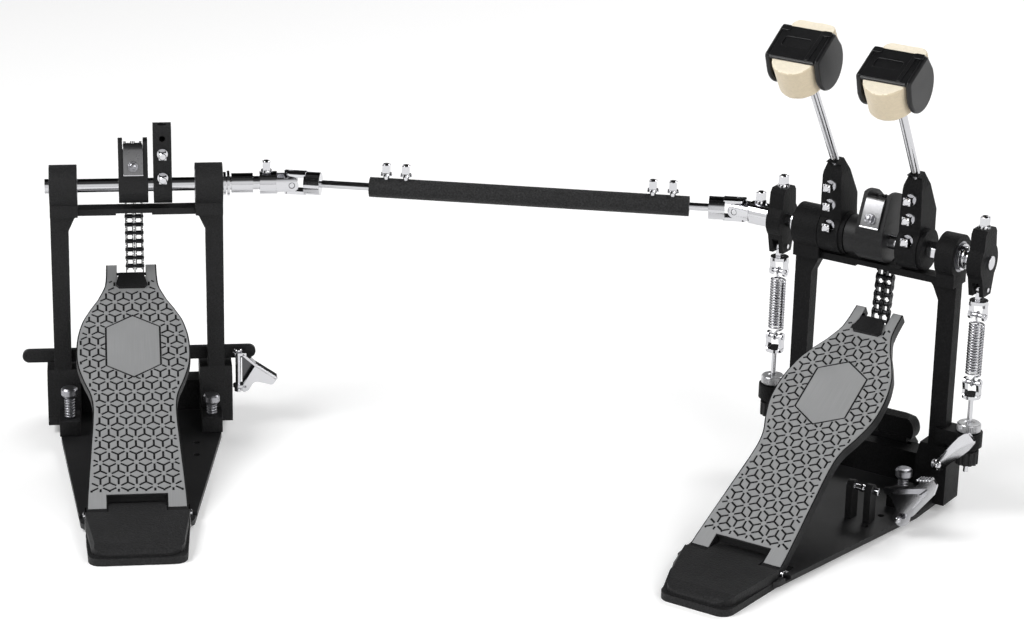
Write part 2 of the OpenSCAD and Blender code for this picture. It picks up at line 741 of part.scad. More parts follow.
// The hole of a screw that enters along +Y, with a flat seat for its flange
module screw_seat(depth) rotate([-90, 0, 0]) {
    translate([0, 0, -1]) cylinder(h = depth + 1, r = screw_r + seat);
    translate([0, 0, -20]) cylinder(h = 20, r = screw_flange_r + 0.2);
}

// A square headed screw with a round flange, along +Z from its seat
module key_screw(tip = -6) {
    translate([0, 0, tip]) cylinder(h = -tip + eps, r = screw_r);
    cylinder(h = 1.6, r1 = screw_flange_r, r2 = screw_flange_r - 0.5);
    translate([-2.7, -2.7, 1.6 - eps]) cube([5.4, 5.4, 6.2]);
    translate([0, 0, 7.6]) cylinder(h = 0.9, r1 = 2.9, r2 = 2.1);
}

module primary_chain_clip() color(chrome) chain_clip();

// Hub: clamps a beater rod and the shaft
module hub_profile() {
    circle(hub_round);
    polygon([[-hub_back, 0], [-hub_back, 43], [-7, 52], [hub_mouth_y - 5, hub_mouth - 0.6],
        [hub_mouth_y + 5.2, hub_mouth + 1], [4.5, 45], [14.6, 25.5], [14.6, 16],
        [hub_round - 0.3, 3], [0, 0]]);
}

module on_rod(reach = 0) translate([0, hub_mouth_y, hub_mouth]) rotate([beater_lean, 0, 0])
    translate([0, 0, reach]) children();

module hub(x0) {
    mid = x0 + hub_w / 2;
    difference() {
        union() {
            rod_x(x0 + hub_w - eps, x0 + hub_w + hub_boss, hub_round - 0.8);
            intersection() {
                yz(x0, hub_w) hub_profile();
                translate([0, 30, 0]) rotate([90, 0, 0]) linear_extrude(60) polygon([
                    [x0, -20], [x0 + hub_w, -20], [x0 + hub_w, 26], [mid + 7.2, 46], [mid + 3.6, 57],
                    [mid - 3.6, 57], [mid - 7.2, 46], [x0, 26]
                ]);
            }
        }
        rod_x(x0 - 1, x0 + hub_w + hub_boss + 1, shaft_r + seat);
        translate([mid, 0, 0]) on_rod(-33) cylinder(h = 60, r = beater_rod_d / 2 + seat);
        for (z = screw_rows) translate([mid, -hub_back, z]) screw_seat(screw_depth(z));
    }
}

// How far a hub screw reaches in: to the rod, or to the shaft
function screw_depth(z) = z < 10 ? 4.4 : hub_back + hub_mouth_y
    + (hub_mouth - z - screw_r) * tan(beater_lean) - beater_rod_d / 2 / cos(beater_lean) - 0.2;

module hub_screws(x0) for (z = screw_rows) translate([x0 + hub_w / 2, -hub_back - seat, z])
    rotate([90, 0, 0]) key_screw(-min(screw_depth(z), 12));

module primary_hub() color(black) at_shaft() hub(primary_hub_x);
module secondary_hub() color(black) at_secondary() hub(secondary_hub_x);

module beater_rod(x0, reach) translate([x0 + hub_w / 2, 0, 0]) on_rod(-32.5)
    cylinder(h = 32.5 + reach + 6, r = beater_rod_d / 2);

module primary_beater_rod() color(chrome) at_shaft() beater_rod(primary_hub_x, primary_reach);
module secondary_beater_rod() color(chrome) at_secondary() beater_rod(secondary_hub_x, secondary_reach);

// Beater head: a felt block with one flat face and one round face, in a plastic cradle
module felt_plan() {
    half = felt_w / 2;
    front = felt_len / 2;
    translate([-half, -front + half]) square([felt_w, felt_len - half - 6]);
    translate([0, -front + half]) circle(half);
    translate([-half + 6, front - 7]) square([felt_w - 12, 7]);
    for (side = [-1, 1]) translate([side * (half - 6), front - 6]) circle(6);
}

module felt(x0, reach) translate([x0 + hub_w / 2, 0, 0]) on_rod(reach) difference() {
    translate([0, 0, -felt_h / 2]) linear_extrude(felt_h) felt_plan();
    translate([0, 0, -felt_h]) cylinder(h = felt_h + 6 + gap, r = beater_rod_d / 2 + seat);
}

module cradle(x0, reach) translate([x0 + hub_w / 2, 0, 0]) on_rod(reach) {
    half = felt_w / 2 + seat;
    top = felt_h / 2 + 3.4;
    for (side = [-1, 1]) yz(side > 0 ? half : -half - cradle_wall, cradle_wall) {
        translate([0, 0.5]) circle(18);
        polygon([[-18, 0.5], [18, 0.5], [14.6, top], [-14.6, top]]);
    }
    box([-half - eps, -14.2, felt_h / 2 + seat], [half + eps, 14.2, top]);
}

module primary_beater_felt() color(cream) at_shaft() felt(primary_hub_x, primary_reach);
module primary_beater_cradle() color(black) at_shaft() cradle(primary_hub_x, primary_reach);
module secondary_beater_felt() color(cream) at_secondary() felt(secondary_hub_x, secondary_reach);
module secondary_beater_cradle() color(black) at_secondary() cradle(secondary_hub_x, secondary_reach);

// Rocker: clamps the end of a shaft and carries a stirrup in its forked lower arm
module rocker() difference() {
    yz(rocker_in, rocker_w) {
        circle(14);
        polygon([[-11, 0], [11, 0], [9, 21], [6.5, 24], [-6.5, 24], [-9, 21]]);
        polygon([[-13.4, 4], [13.4, 4], [6, -stirrup_drop - 4.2], [-6, -stirrup_drop - 4.2]]);
    }
    rod_x(rocker_in - 1, rocker_in + rocker_w + 1, shaft_r + seat);
    box([rocker_x - 2.4, -15, -30], [rocker_x + 2.4, 15, -stirrup_drop + 6.4]);
    translate([0, 0, -stirrup_drop]) rod_x(rocker_in - 1, rocker_in + rocker_w + 1, cross_pin_r + seat);
    translate([rocker_x, 0, 0]) cylinder(h = 30, r = screw_r + seat);
}

module rocker_pin() translate([0, 0, -stirrup_drop])
    rod_x(rocker_in - 0.8, rocker_in + rocker_w + 0.8, cross_pin_r);
module rocker_screw() translate([rocker_x, 0, 24 + seat]) key_screw(-24 + shaft_r + 0.2);

module right_rocker() color(black) at_shaft() rocker();
module left_rocker() color(black) at_shaft() mirror([1, 0, 0]) rocker();

module primary_key_screws() color(chrome) at_shaft() {
    hub_screws(primary_hub_x);
    rocker_screw();
    rocker_pin();
}

module secondary_key_screws() color(chrome) {
    at_secondary() hub_screws(secondary_hub_x);
    at_shaft() mirror([1, 0, 0]) {
        rocker_screw();
        rocker_pin();
        translate([joint_reach - secondary_yoke_screw, 0, 0]) yoke_screw();
    }
}

// Upper stirrups hang from the rockers
module stirrup() translate([rocker_x, 0, 0]) {
    difference() {
        union() {
            translate([0, 0, shaft_z - stirrup_drop]) yz(-1.9, 3.8) {
                circle(3.6);
                translate([-2.6, -9.6]) square([5.2, 9.6]);
            }
            translate([0, 0, spring_top_z]) mirror([0, 0, 1]) shackle();
        }
        translate([0, 0, shaft_z - stirrup_drop]) rod_x(-5, 5, cross_pin_r + run);
    }
}

module right_stirrup() color(chrome) stirrup();
module left_stirrup() color(chrome) mirror([1, 0, 0]) stirrup();

// Spring: one tube along a coil whose two ends are drawn in to the axis
coil_low = spring_foot_z + cross_pin_r + wire_d / 2 + coil_play;
coil_high = spring_top_z - cross_pin_r - wire_d / 2 - coil_play;
coil_rings = spring_curls * rings_per_curl;
function smooth(t) = let (u = max(0, min(1, t))) u * u * (3 - 2 * u);
function coil_point(i) = let (
        turn = i / rings_per_curl,
        from_end = min(i, coil_rings - i) / rings_per_curl,
        r = 0.9 + (coil_r - 0.9) * smooth((from_end - 0.4) / 0.8),
        pitch = (coil_high - coil_low - 2 * end_stub) / (spring_curls - 2),
        z = coil_low + (turn < 1 ? end_stub * turn
            : turn > spring_curls - 1 ? end_stub + (spring_curls - 2) * pitch
                + end_stub * (turn - spring_curls + 1)
            : end_stub + (turn - 1) * pitch)
    )
    [r * cos(360 * turn), r * sin(360 * turn), z];
function unit(v) = v / norm(v);
coil_path = [for (i = [0:coil_rings]) coil_point(i)];
function coil_ring(i) = let (
        p = coil_path[i],
        t = unit(coil_path[min(i + 1, coil_rings)] - coil_path[max(i - 1, 0)]),
        a = 360 * i / rings_per_curl,
        out = [cos(a), sin(a), 0],
        n = unit(out - (out * t) * t),
        b = cross(t, n)
    )
    [for (k = [0:wire_sides - 1]) p + wire_d / 2 * (n * cos(60 * k) + b * sin(60 * k))];
coil_gap = min([for (i = [0:coil_rings - 6]) for (j = [i + 6:min(coil_rings, i + 12)])
    norm(coil_path[j] - coil_path[i])]) - wire_d;

module coil() {
    rings = [for (i = [0:coil_rings]) each coil_ring(i)];
    n = wire_sides;
    top = coil_rings * n;
    echo(least_gap_between_curls = coil_gap);
    polyhedron(rings, [
        for (k = [1:n - 2]) [0, k, k + 1],
        for (k = [1:n - 2]) [top, top + k + 1, top + k],
        for (i = [0:coil_rings - 1]) for (k = [0:n - 1]) let (a = i * n + k, b = i * n + (k + 1) % n)
            each [[a, a + n, b + n], [a, b + n, b]]
    ]);
}

module right_spring() color(chrome) translate([rocker_x, 0, 0]) coil();
module left_spring() color(chrome) translate([-rocker_x, 0, 0]) coil();

// Footboard: outline smoothed through the key widths
function ease(a, b, c, d, t) = 0.5 * ((2 * b) + (c - a) * t + (2 * a - 5 * b + 4 * c - d) * t * t
    + (3 * b - a - 3 * c + d) * t * t * t);
board_n = len(board_key) - 1;
function key(i) = let (k = board_key[max(0, min(board_n, i))]) [k.x * board_len / 233, k.y * board_w / 2];
board_edge = [
    for (i = [0:board_n - 1]) for (j = [0:board_steps - 1]) let (t = j / board_steps)
        [key(i).x + (key(i + 1).x - key(i).x) * t,
            ease(key(i - 1).y, key(i).y, key(i + 1).y, key(i + 2).y, t)],
    key(board_n)
];
function board_half(s) = lookup(s, [for (p = board_edge) [p.x, p.y]]);

module cover_outline() polygon([
    for (side = [-1, 1]) for (p = side < 0 ? [0, 1, 2] : [2, 1, 0]) [side * cover[p].x, slot_s + cover[p].y]
]);

module footboard(tilt) translate([board_x, pin_y, pin_z]) rotate([tilt, 0, 0]) difference() {
    union() {
        translate([0, 0, board_top - board_t]) linear_extrude(board_t) polygon([
            for (p = board_edge) [p.y, p.x],
            for (i = [len(board_edge) - 1:-1:0]) [-board_edge[i].y, board_edge[i].x]
        ]);
        for (side = [-1, 1])
            rod_x(side > 0 ? lug_in : -board_half(0), side > 0 ? board_half(0) : -lug_in, lug_r);
        translate([0, 0, board_top - eps]) linear_extrude(cover_t) cover_outline();
    }
    box([-lug_in, -10, -20], [lug_in, notch_s, 20]);
    box([-50, -10, -20], [50, -lug_r - 0.2, 20]);
    rod_x(-60, 60, pin_d / 2 + run);
    box([-slot_half, slot_s, -20], [slot_half, 300, board_top + 0.05]);
    translate([0, toe_pin_s, toe_pin_h]) rod_x(-slot_half - 3, slot_half + 3, link_pin_r + toe_play);
    for (side = [-1, 1]) box([side * 17 - 8, notch_s + 16, board_top - board_t - 1],
        [side * 17 + 8, 190, board_top - 3]);
}

module primary_footboard() color(black) footboard(primary_tilt);

// Shafts and what is turned or fixed on them
module primary_shaft() color(chrome) at_shaft() {
    rod_x(cam_x - 12, rocker_in + rocker_w + 2, shaft_r);
    hub_end = primary_hub_x + hub_w + hub_boss;
    rotate([0, 90, 0]) translate([0, 0, hub_end + 0.2])
        cylinder(h = right_in - hub_end - 0.6, r = 6.6, $fn = 6);
    for (i = [0:1]) rod_x(housing_out + 0.6 + i * 2.4, housing_out + 2.2 + i * 2.4, 9.4 - i * 1.4);
}

sleeve_end = -hub_side + hub_w + hub_boss + 0.4;      // the cam's sleeve stops beside the secondary hub

module secondary_shaft() color(chrome) at_shaft() {
    rod_x(-joint_reach + web_x + 1, cam_x - 12.6, shaft_r);
    for (i = [0:1]) rod_x(-housing_out - 2.2 - i * 2.4, -housing_out - 0.6 - i * 2.4, 9.4 - i * 1.4);
    translate([-joint_reach, 0, 0]) yoke(secondary_collar, 0.3, secondary_yoke_screw);
}

// Yoke: a fork along +X from the joint centre, its pin holes along Y, with room for a screw in its collar
module yoke(end, play, screw_x = 0) difference() {
    union() {
        intersection() {
            union() for (side = [-1, 1]) {
                translate([0, side > 0 ? fork_gap : -fork_gap - fork_t, -fork_half])
                    cube([web_x + 1, fork_t, 2 * fork_half]);
                translate([0, side > 0 ? fork_gap : -fork_gap - fork_t, 0]) rotate([-90, 0, 0])
                    cylinder(h = fork_t, r = fork_half);
            }
            rod_x(-10, 20, yoke_r + 0.6);
        }
        rod_x(web_x, end, yoke_r);
    }
    rotate([90, 0, 0]) translate([0, 0, -15]) cylinder(h = 30, r = trunnion_r + play);
    if (screw_x > 0) translate([screw_x, 0, shaft_r + 0.1]) cylinder(h = 10, r = screw_r + seat);
}

// Screw that clamps a yoke on its shaft
module yoke_screw() translate([0, 0, yoke_r + seat]) key_screw(-yoke_r - seat + shaft_r + 0.3);

module cross_piece() {
    cube(9.2, center = true);
    rotate([90, 0, 0]) cylinder(h = 16.8, r = trunnion_r, center = true);
    cylinder(h = 16.8, r = trunnion_r, center = true);
}

module joint_cross_left() color(chrome) translate(slave_joint) rotate(slave_turn) cross_piece();
module joint_cross_right() color(chrome) translate(primary_joint) cross_piece();

// Drive bar: the tube, and the rods with yokes that it clamps
module drive_rod_left() color(chrome) at_bar() {
    rotate([90, 0, 0]) yoke(yoke_end, run);
    rod_x(yoke_end - 1, tube_start + insert_len, drive_rod_d / 2);
}

module drive_rod_right() color(chrome) at_bar() translate([bar_len, 0, 0]) mirror([1, 0, 0]) {
    rotate([90, 0, 0]) yoke(yoke_end, run);
    rod_x(yoke_end - 1, bar_len - tube_end + insert_len, drive_rod_d / 2);
}

module drive_tube() color(black) at_bar() difference() {
    rod_x(tube_start, tube_end, tube_d / 2);
    rod_x(tube_start - 1, tube_start + insert_len + telescope, drive_rod_d / 2 + run);
    rod_x(tube_end - insert_len - 2, tube_end + 1, drive_rod_d / 2 + seat);
    for (x = drive_screws) for (at = [tube_start + x, tube_end - x]) translate([at, 0, 0])
        cylinder(h = 10, r = screw_r + seat);
}

module drive_key_screws() color(chrome) at_bar()
    for (x = drive_screws) for (at = [tube_start + x, tube_end - x])
        translate([at, 0, tube_d / 2 + drive_screw_out])
            key_screw(-tube_d / 2 - drive_screw_out + drive_rod_d / 2 + run + 0.1);

// Slave pedal
module slave_frame() color(black) at_slave() frame(housing_in, slave_spur_x);
module slave_base_plate() color(black) at_slave() base_plate(slave_spur_x);
module slave_heel_plate() color(black) at_slave() heel_plate(slave_heel_taper);
module slave_hinge_pin() color(chrome) at_slave() hinge_pin();
module slave_bearings() color(chrome) at_slave() bearings();
module slave_spurs() color(chrome) at_slave() spurs(slave_spur_x, slave_spur_rise);
module slave_cam() color(dark_steel) at_slave() cam(slave_tilt, slave_run_links, slave_round - 0.5);
module slave_chain_clip() color(chrome) at_slave() chain_clip();
module slave_footboard() color(black) at_slave() footboard(slave_tilt);
module slave_wing_lever() color(chrome) at_slave() translate([foot_out + lever_off, -2, 0]) wing_lever();

// Stabiliser: a flat bar behind the slave posts, with a raised rim
module slave_stabiliser() color(black) at_slave() translate([0, post_depth / 2 + 5.2, 0])
    rotate([90, 0, 0]) linear_extrude(5) {
        translate([-81, 50]) square([162, 10]);
        for (x = [-81, 81]) translate([x, 55]) circle(5);
    }

module slave_shaft() color(chrome) at_slave() at_shaft() {
    rod_x(-housing_out - 1, joint_reach - slave_collar + 1.6, shaft_r);
    rod_x(-housing_out - 3.2, -housing_out - 0.6, 5.4);
    for (i = [0:1]) rod_x(housing_out + 0.6 + i * 2.6, housing_out + 2.4 + i * 2.6, 8.4 + i * 0.8);
    rod_x(housing_out + 6.4, slave_coupling, 7.3);
    translate([joint_reach, 0, 0]) rotate(180) yoke(slave_collar, 0.3, slave_yoke_screw);
}

// Empty hub on the slave shaft, open for a beater of its own
module slave_hub() color(black) at_slave() at_shaft() difference() {
    yz(slave_hub_x, slave_hub_w) {
        circle(slave_round);
        polygon([[-slave_hub_back, 0], [-slave_hub_back, 42], [-6, 45.5], [5, 45.5], [8, 42], [11, 8],
            [slave_round, 0]]);
    }
    rod_x(slave_hub_x - 1, slave_hub_x + slave_hub_w + 1, shaft_r + seat);
    translate([slave_hub_x + slave_hub_w / 2, 0, 18]) cylinder(h = 40, r = beater_rod_d / 2 + 0.1);
    for (z = slave_screw_rows) translate([slave_hub_x + slave_hub_w / 2, -slave_hub_back, z])
        screw_seat(slave_screw_depth(z));
    translate([slave_hub_x + slave_hub_w / 2, -slave_hub_back - 1, slave_hub_hole]) rotate([-90, 0, 0])
        cylinder(h = slave_hub_back, r = screw_r);
}

slave_screw_rows = [26, 8];
slave_hub_hole = 37;      // empty screw hole near the top of the hub
function slave_screw_depth(z) = z > 10 ? 5.4 : 3.4;

module slave_key_screws() color(chrome) at_slave() at_shaft() {
    for (z = slave_screw_rows) translate([slave_hub_x + slave_hub_w / 2, -slave_hub_back - seat, z])
        rotate([90, 0, 0]) key_screw(-slave_screw_depth(z) + 0.2);
    translate([joint_reach - slave_yoke_screw, 0, 0]) yoke_screw();
}

module slave_chain_upper() color(dark_steel) at_slave() chain_upper(slave_tilt, slave_run_links);
module slave_chain_middle() color(dark_steel) at_slave() chain_middle(slave_tilt, slave_run_links);
module slave_chain_run() color(dark_steel) at_slave() chain_run(slave_tilt, slave_run_links);
module primary_chain_upper() color(dark_steel) chain_upper(primary_tilt, primary_run_links);
module primary_chain_middle() color(dark_steel) chain_middle(primary_tilt, primary_run_links);
module primary_chain_run() color(dark_steel) chain_run(primary_tilt, primary_run_links);

primary_frame();
primary_base_plate();
primary_heel_plate();
primary_hinge_pin();
primary_bearings();
tension_rods();
left_tension_nut();
right_tension_nut();
lock_knobs();
hoop_jaw();
primary_wing_lever();
side_clamp_lever();
primary_spurs();
primary_shaft();
primary_cam();
primary_chain_clip();
primary_hub();
primary_beater_rod();
primary_beater_felt();
primary_beater_cradle();
primary_key_screws();
right_rocker();
primary_chain_upper();
primary_chain_middle();
primary_chain_run();
primary_footboard();
right_stirrup();
right_spring();
secondary_shaft();
secondary_hub();
secondary_beater_rod();
secondary_beater_felt();
secondary_beater_cradle();
left_rocker();
secondary_key_screws();
left_stirrup();
left_spring();
drive_tube();
drive_rod_right();
drive_rod_left();
joint_cross_left();
joint_cross_right();
drive_key_screws();
slave_frame();
slave_base_plate();
slave_heel_plate();
slave_hinge_pin();
slave_bearings();
slave_stabiliser();
slave_wing_lever();
slave_spurs();
slave_shaft();
slave_cam();
slave_chain_clip();
slave_hub();
slave_key_screws();
slave_chain_upper();
slave_chain_middle();
slave_chain_run();
slave_footboard();
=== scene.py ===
"""Looks of the double bass drum pedal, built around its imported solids.

Lengths in this file are in millimetres; Form.build() turns them into metres.
"""
import math

import bmesh
import bpy
from bpy.props import FloatProperty, FloatVectorProperty, IntProperty
from mathutils import Matrix, Vector, geometry, noise


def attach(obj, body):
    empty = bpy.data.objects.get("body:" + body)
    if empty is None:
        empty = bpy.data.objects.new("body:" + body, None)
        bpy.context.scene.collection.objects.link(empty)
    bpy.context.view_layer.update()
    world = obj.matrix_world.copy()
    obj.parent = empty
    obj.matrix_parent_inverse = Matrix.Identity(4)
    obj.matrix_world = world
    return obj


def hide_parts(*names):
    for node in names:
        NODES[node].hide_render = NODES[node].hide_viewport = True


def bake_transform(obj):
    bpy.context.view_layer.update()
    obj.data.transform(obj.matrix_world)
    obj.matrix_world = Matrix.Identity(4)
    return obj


bl_info = {
    "name": "Double pedal looks",
    "version": (1, 0, 0),
    "blender": (4, 5, 0),
    "location": "3D View > Sidebar > Pedal",
    "description": "Finishes and detailed pieces of a double bass drum pedal",
    "category": "Object",
}

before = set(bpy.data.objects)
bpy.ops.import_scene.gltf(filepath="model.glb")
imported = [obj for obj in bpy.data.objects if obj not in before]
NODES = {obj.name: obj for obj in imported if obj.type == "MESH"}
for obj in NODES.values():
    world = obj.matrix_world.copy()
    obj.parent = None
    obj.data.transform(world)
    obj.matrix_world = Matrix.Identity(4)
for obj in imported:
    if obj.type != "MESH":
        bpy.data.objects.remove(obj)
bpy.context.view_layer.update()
MM = 0.001

# Places of the solids, in millimetres and degrees
SHAFT_Z = 188.5
SLAVE_AT = (-493, -216, 0)
SLAVE_TURN = 40.6
BOARD_X = -4.8
PIN_BACK = 181
PIN_Z = 7.2
TILT = {"primary": 30.8, "slave": 27.8}
BOARD_TOP = 3.6
BOARD_HALF = 41
# Distance from the hinge pin and share of the half width
BOARD_KEY = [
    (0, 0.852), (21.7, 0.828), (60, 0.768), (92, 0.728), (106, 0.762), (120, 0.882),
    (134, 0.975), (147, 1.0), (163, 0.968), (177, 0.882), (188, 0.752), (198, 0.612),
    (212, 0.478), (233, 0.45),
]
HUB_MOUTH = (-6, 54.5)
BEATER_LEAN = 30
BEATERS = {
    "primary": {"x": 26.6, "lean": 0.0, "reach": 85.5},
    "secondary": {"x": -34.0, "lean": 3.5, "reach": 100.0},
}
ROCKER_X = 78
SPRING_PINS = (99.0, 149.0)
NUT_Z = 62.8
CAM_X = -2
CLIP_AT = (-9.5, 21.5)
CLIP_LEAN = 66.5
THUMB_AT = (44.5, -66, 30)
SPOON_AT = (64, -11, 40)
WING_AT = (72.6, -2, 0)

# Turns a flat outline upright: its second axis points up, its thickness towards the player
UPRIGHT = Matrix(((1, 0, 0, 0), (0, 0, -1, 0), (0, 1, 0, 0), (0, 0, 0, 1)))
# Turns it on its side: its axes point to the drum and up, its thickness to the right
SIDEWAYS = Matrix(((0, 0, 1, 0), (1, 0, 0, 0), (0, 1, 0, 0), (0, 0, 0, 1)))


def turn(degrees, axis):
    return Matrix.Rotation(math.radians(degrees), 4, axis)


def shift(x, y, z):
    return Matrix.Translation((x * MM, y * MM, z * MM))


PEDAL = {"primary": Matrix.Identity(4), "slave": shift(*SLAVE_AT) @ turn(SLAVE_TURN, "Z")}


# ---- settings ----


def color_setting(name, description, default):
    return FloatVectorProperty(name=name, description=description, subtype="COLOR", size=4, min=0, max=1,
                               default=default)


def length_setting(name, description, default, least, most):
    return FloatProperty(name=name, description=description, subtype="DISTANCE", default=default, min=least,
                         max=most)


class PedalFinishSettings(bpy.types.PropertyGroup):
    """Colours and grain of the finishes"""

    casting: color_setting("Casting", "Colour of the powder coated castings", (0.0065, 0.0065, 0.007, 1))
    plate: color_setting("Board plate", "Colour of the brushed footboard plates", (0.43, 0.435, 0.44, 1))
    felt: color_setting("Felt", "Colour of the pressed felt", (0.66, 0.56, 0.40, 1))
    # The paler felt colour is painted light: it goes on both flat ends of a block so that the upper end looks
    # lit
    felt_painted_light: color_setting("Felt top", "Colour of the felt on its cut faces", (0.86, 0.78, 0.62, 1))
    grain: length_setting("Grain", "Size of one grain of the powder coat", 0.0009, 0.0001, 0.01)


class PedalShapeSettings(bpy.types.PropertyGroup):
    """Sizes of the detailed pieces"""

    stroke: length_setting("Stroke", "Width of the strokes cut into the board plates", 0.0015, 0.0005, 0.003)
    plate_t: length_setting("Plate thickness", "Thickness of the board plates", 0.0007, 0.0002, 0.002)
    star_pitch: length_setting("Star pitch", "Distance between two stars of the cut pattern", 0.01255, 0.008,
                               0.02)
    coils: IntProperty(
        name="Coils", description="Turns of one spring", default=19, min=8, max=30)


class PedalStudioSettings(bpy.types.PropertyGroup):
    """Camera and light"""

    camera_at: FloatVectorProperty(
        name="Camera", description="Where the camera stands", subtype="TRANSLATION",
        size=3, default=(0.87216, -1.82857, 0.8541))
    focal: FloatProperty(
        name="Focal length", description="Focal length in millimetres on a 36 mm sensor",
        default=106.3, min=20, max=300)
    sky: FloatProperty(
        name="Room light", description="Strength of the light from the walls of the room",
        default=1.0, min=0, max=3)
    cards: FloatProperty(
        name="Cards", description="White cards round the stage, dark between them, as metal shows them",
        default=5.0, min=1, max=16)
    floor_lift: FloatProperty(
        name="Floor lift", description="How much whiter the floor looks than its light makes it",
        default=0.20, min=0, max=1)
    ceiling: FloatProperty(
        name="Ceiling light", description="Strength of the light from the ceiling",
        default=0.14, min=0, max=3)



# ---- mesh building ----


def polar(radius, degrees):
    a = math.radians(degrees)
    return radius * math.cos(a), radius * math.sin(a)


class Form:
    """A mesh in the making, in millimetres"""

    def __init__(self):
        self.bm = bmesh.new()

    def slab(self, outline, low, high, at=None, holes=()):
        """A flat plate: a closed outline in X and Y, from low to high in Z"""
        if holes:
            verts, faces, owners = mesh_outlines([outline, *holes])
            faces = [f for f, own in zip(faces, owners) if own == {0}]
        else:
            verts, faces = [Vector(p) for p in outline], [range(len(outline))]
        return self.sheet_slab(verts, faces, low, high, at)

    def sheet_slab(self, points, faces, low, high, at=None):
        """A plate of many faces, with walls along the edges that only one face has"""
        at = at or Matrix.Identity(4)
        bottom = [self.bm.verts.new(at @ Vector((p.x, p.y, low))) for p in points]
        top = [self.bm.verts.new(at @ Vector((p.x, p.y, high))) for p in points]
        edges = {}
        for f in faces:
            area = sum(points[f[i - 1]].x * points[f[i]].y - points[f[i]].x * points[f[i - 1]].y
                       for i in range(len(f)))
            f = list(f) if area > 0 else list(reversed(f))
            self.bm.faces.new([top[i] for i in f])
            self.bm.faces.new([bottom[i] for i in reversed(f)])
            edges.update(((f[i - 1], f[i]), True) for i in range(len(f)))
        for a, b in edges:
            if (b, a) not in edges:
                self.bm.faces.new([bottom[a], bottom[b], top[b], top[a]])
        return self

    def skin(self, rings):
        """Faces from ring to ring of points, with closed ends; a ring of one point is a tip"""
        rings = [[self.bm.verts.new(p) for p in ring] for ring in rings]
        for low, high in zip(rings, rings[1:]):
            count = max(len(low), len(high))
            for k in range(count):
                n = (k + 1) % count
                corners = (low[k % len(low)], low[n % len(low)], high[n % len(high)], high[k % len(high)])
                self.bm.faces.new(list(dict.fromkeys(corners)))
        for end in (rings[0][::-1], rings[-1]):
            if len(end) > 1:
                self.bm.faces.new(end)
        return self

    def lathe(self, profile, at=None, steps=48):
        """A profile of (radius, height) points turned about Z; a zero radius closes an end"""
        at = at or Matrix.Identity(4)
        return self.skin([[at @ Vector((*polar(r, 360 * k / steps), z)) for k in range(steps if r else 1)]
                          for r, z in profile])

    def tube(self, path, radii, sides=10):
        """A round wire along a path, with closed ends and one radius for each point"""
        path = [Vector(p) for p in path]
        normal = Vector((0, 0, 1))
        rings = []
        for i, p in enumerate(path):
            t = (path[min(i + 1, len(path) - 1)] - path[max(i - 1, 0)]).normalized()
            normal = normal - normal.dot(t) * t
            if normal.length < 1e-4:
                normal = t.orthogonal()
            normal.normalize()
            side = t.cross(normal)
            spokes = [polar(1, 360 * k / sides) for k in range(sides)]
            rings.append([p + radii[i] * (x * normal + y * side) for x, y in spokes])
        return self.skin(rings)

    def build(self, name, finish, body, slot, place=None, replaces=(), bevel=0.0, segments=2, angle=32):
        """Makes the piece, in metres, and rides it on its body"""
        bmesh.ops.remove_doubles(self.bm, verts=self.bm.verts, dist=1e-4)
        bmesh.ops.recalc_face_normals(self.bm, faces=self.bm.faces)
        mesh = bpy.data.meshes.new(name)
        self.bm.to_mesh(mesh)
        self.bm.free()
        mesh.transform(Matrix.Diagonal((MM, MM, MM, 1)))
        if place is not None:
            mesh.transform(place)
        piece = bpy.data.objects.new(name, mesh)
        bpy.context.scene.collection.objects.link(piece)
        mesh.materials.append(finish)
        mesh.shade_smooth()
        if bevel:
            soften(piece, bevel, segments, angle)
        else:
            mesh.set_sharp_from_angle(angle=math.radians(angle))
        if body:
            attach(piece, body)
        if replaces:
            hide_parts(*replaces)
        return piece


def soften(piece, width, segments=2, angle=32):
    """Rounds the sharp edges of a piece by width millimetres"""
    mod = piece.modifiers.new("rounded edges", "BEVEL")
    mod.width = width * MM
    mod.segments = segments
    mod.limit_method = "ANGLE"
    mod.angle_limit = math.radians(angle)
    mod.use_clamp_overlap = True
    mod.harden_normals = False
    mod.miter_outer = "MITER_ARC"
    weighted = piece.modifiers.new("flat faces stay flat", "WEIGHTED_NORMAL")
    weighted.weight = 60


def circle_points(cx, cy, r, start, end, steps):
    arc = (polar(r, start + (end - start) * k / steps) for k in range(steps + 1))
    return [(cx + x, cy + y) for x, y in arc]


def rounded(outline, radius, steps=5):
    """An outline with its corners rounded; radius may be one number or one per corner"""
    out = []
    n = len(outline)
    for i in range(n):
        a, b, c = Vector(outline[i - 1]), Vector(outline[i]), Vector(outline[(i + 1) % n])
        r = radius[i] if isinstance(radius, (list, tuple)) else radius
        u, v = (a - b), (c - b)
        if r < 0.01 or u.length < 1e-6 or v.length < 1e-6:
            out.append(tuple(b))
            continue
        half = u.angle(v) / 2
        cut = min(r / math.tan(half), u.length * 0.48, v.length * 0.48)
        p, q = b + u.normalized() * cut, b + v.normalized() * cut
        for k in range(steps + 1):
            t = k / steps
            out.append(tuple((1 - t) ** 2 * p + 2 * t * (1 - t) * b + t * t * q))
    return out


# ---- node groups and finishes ----


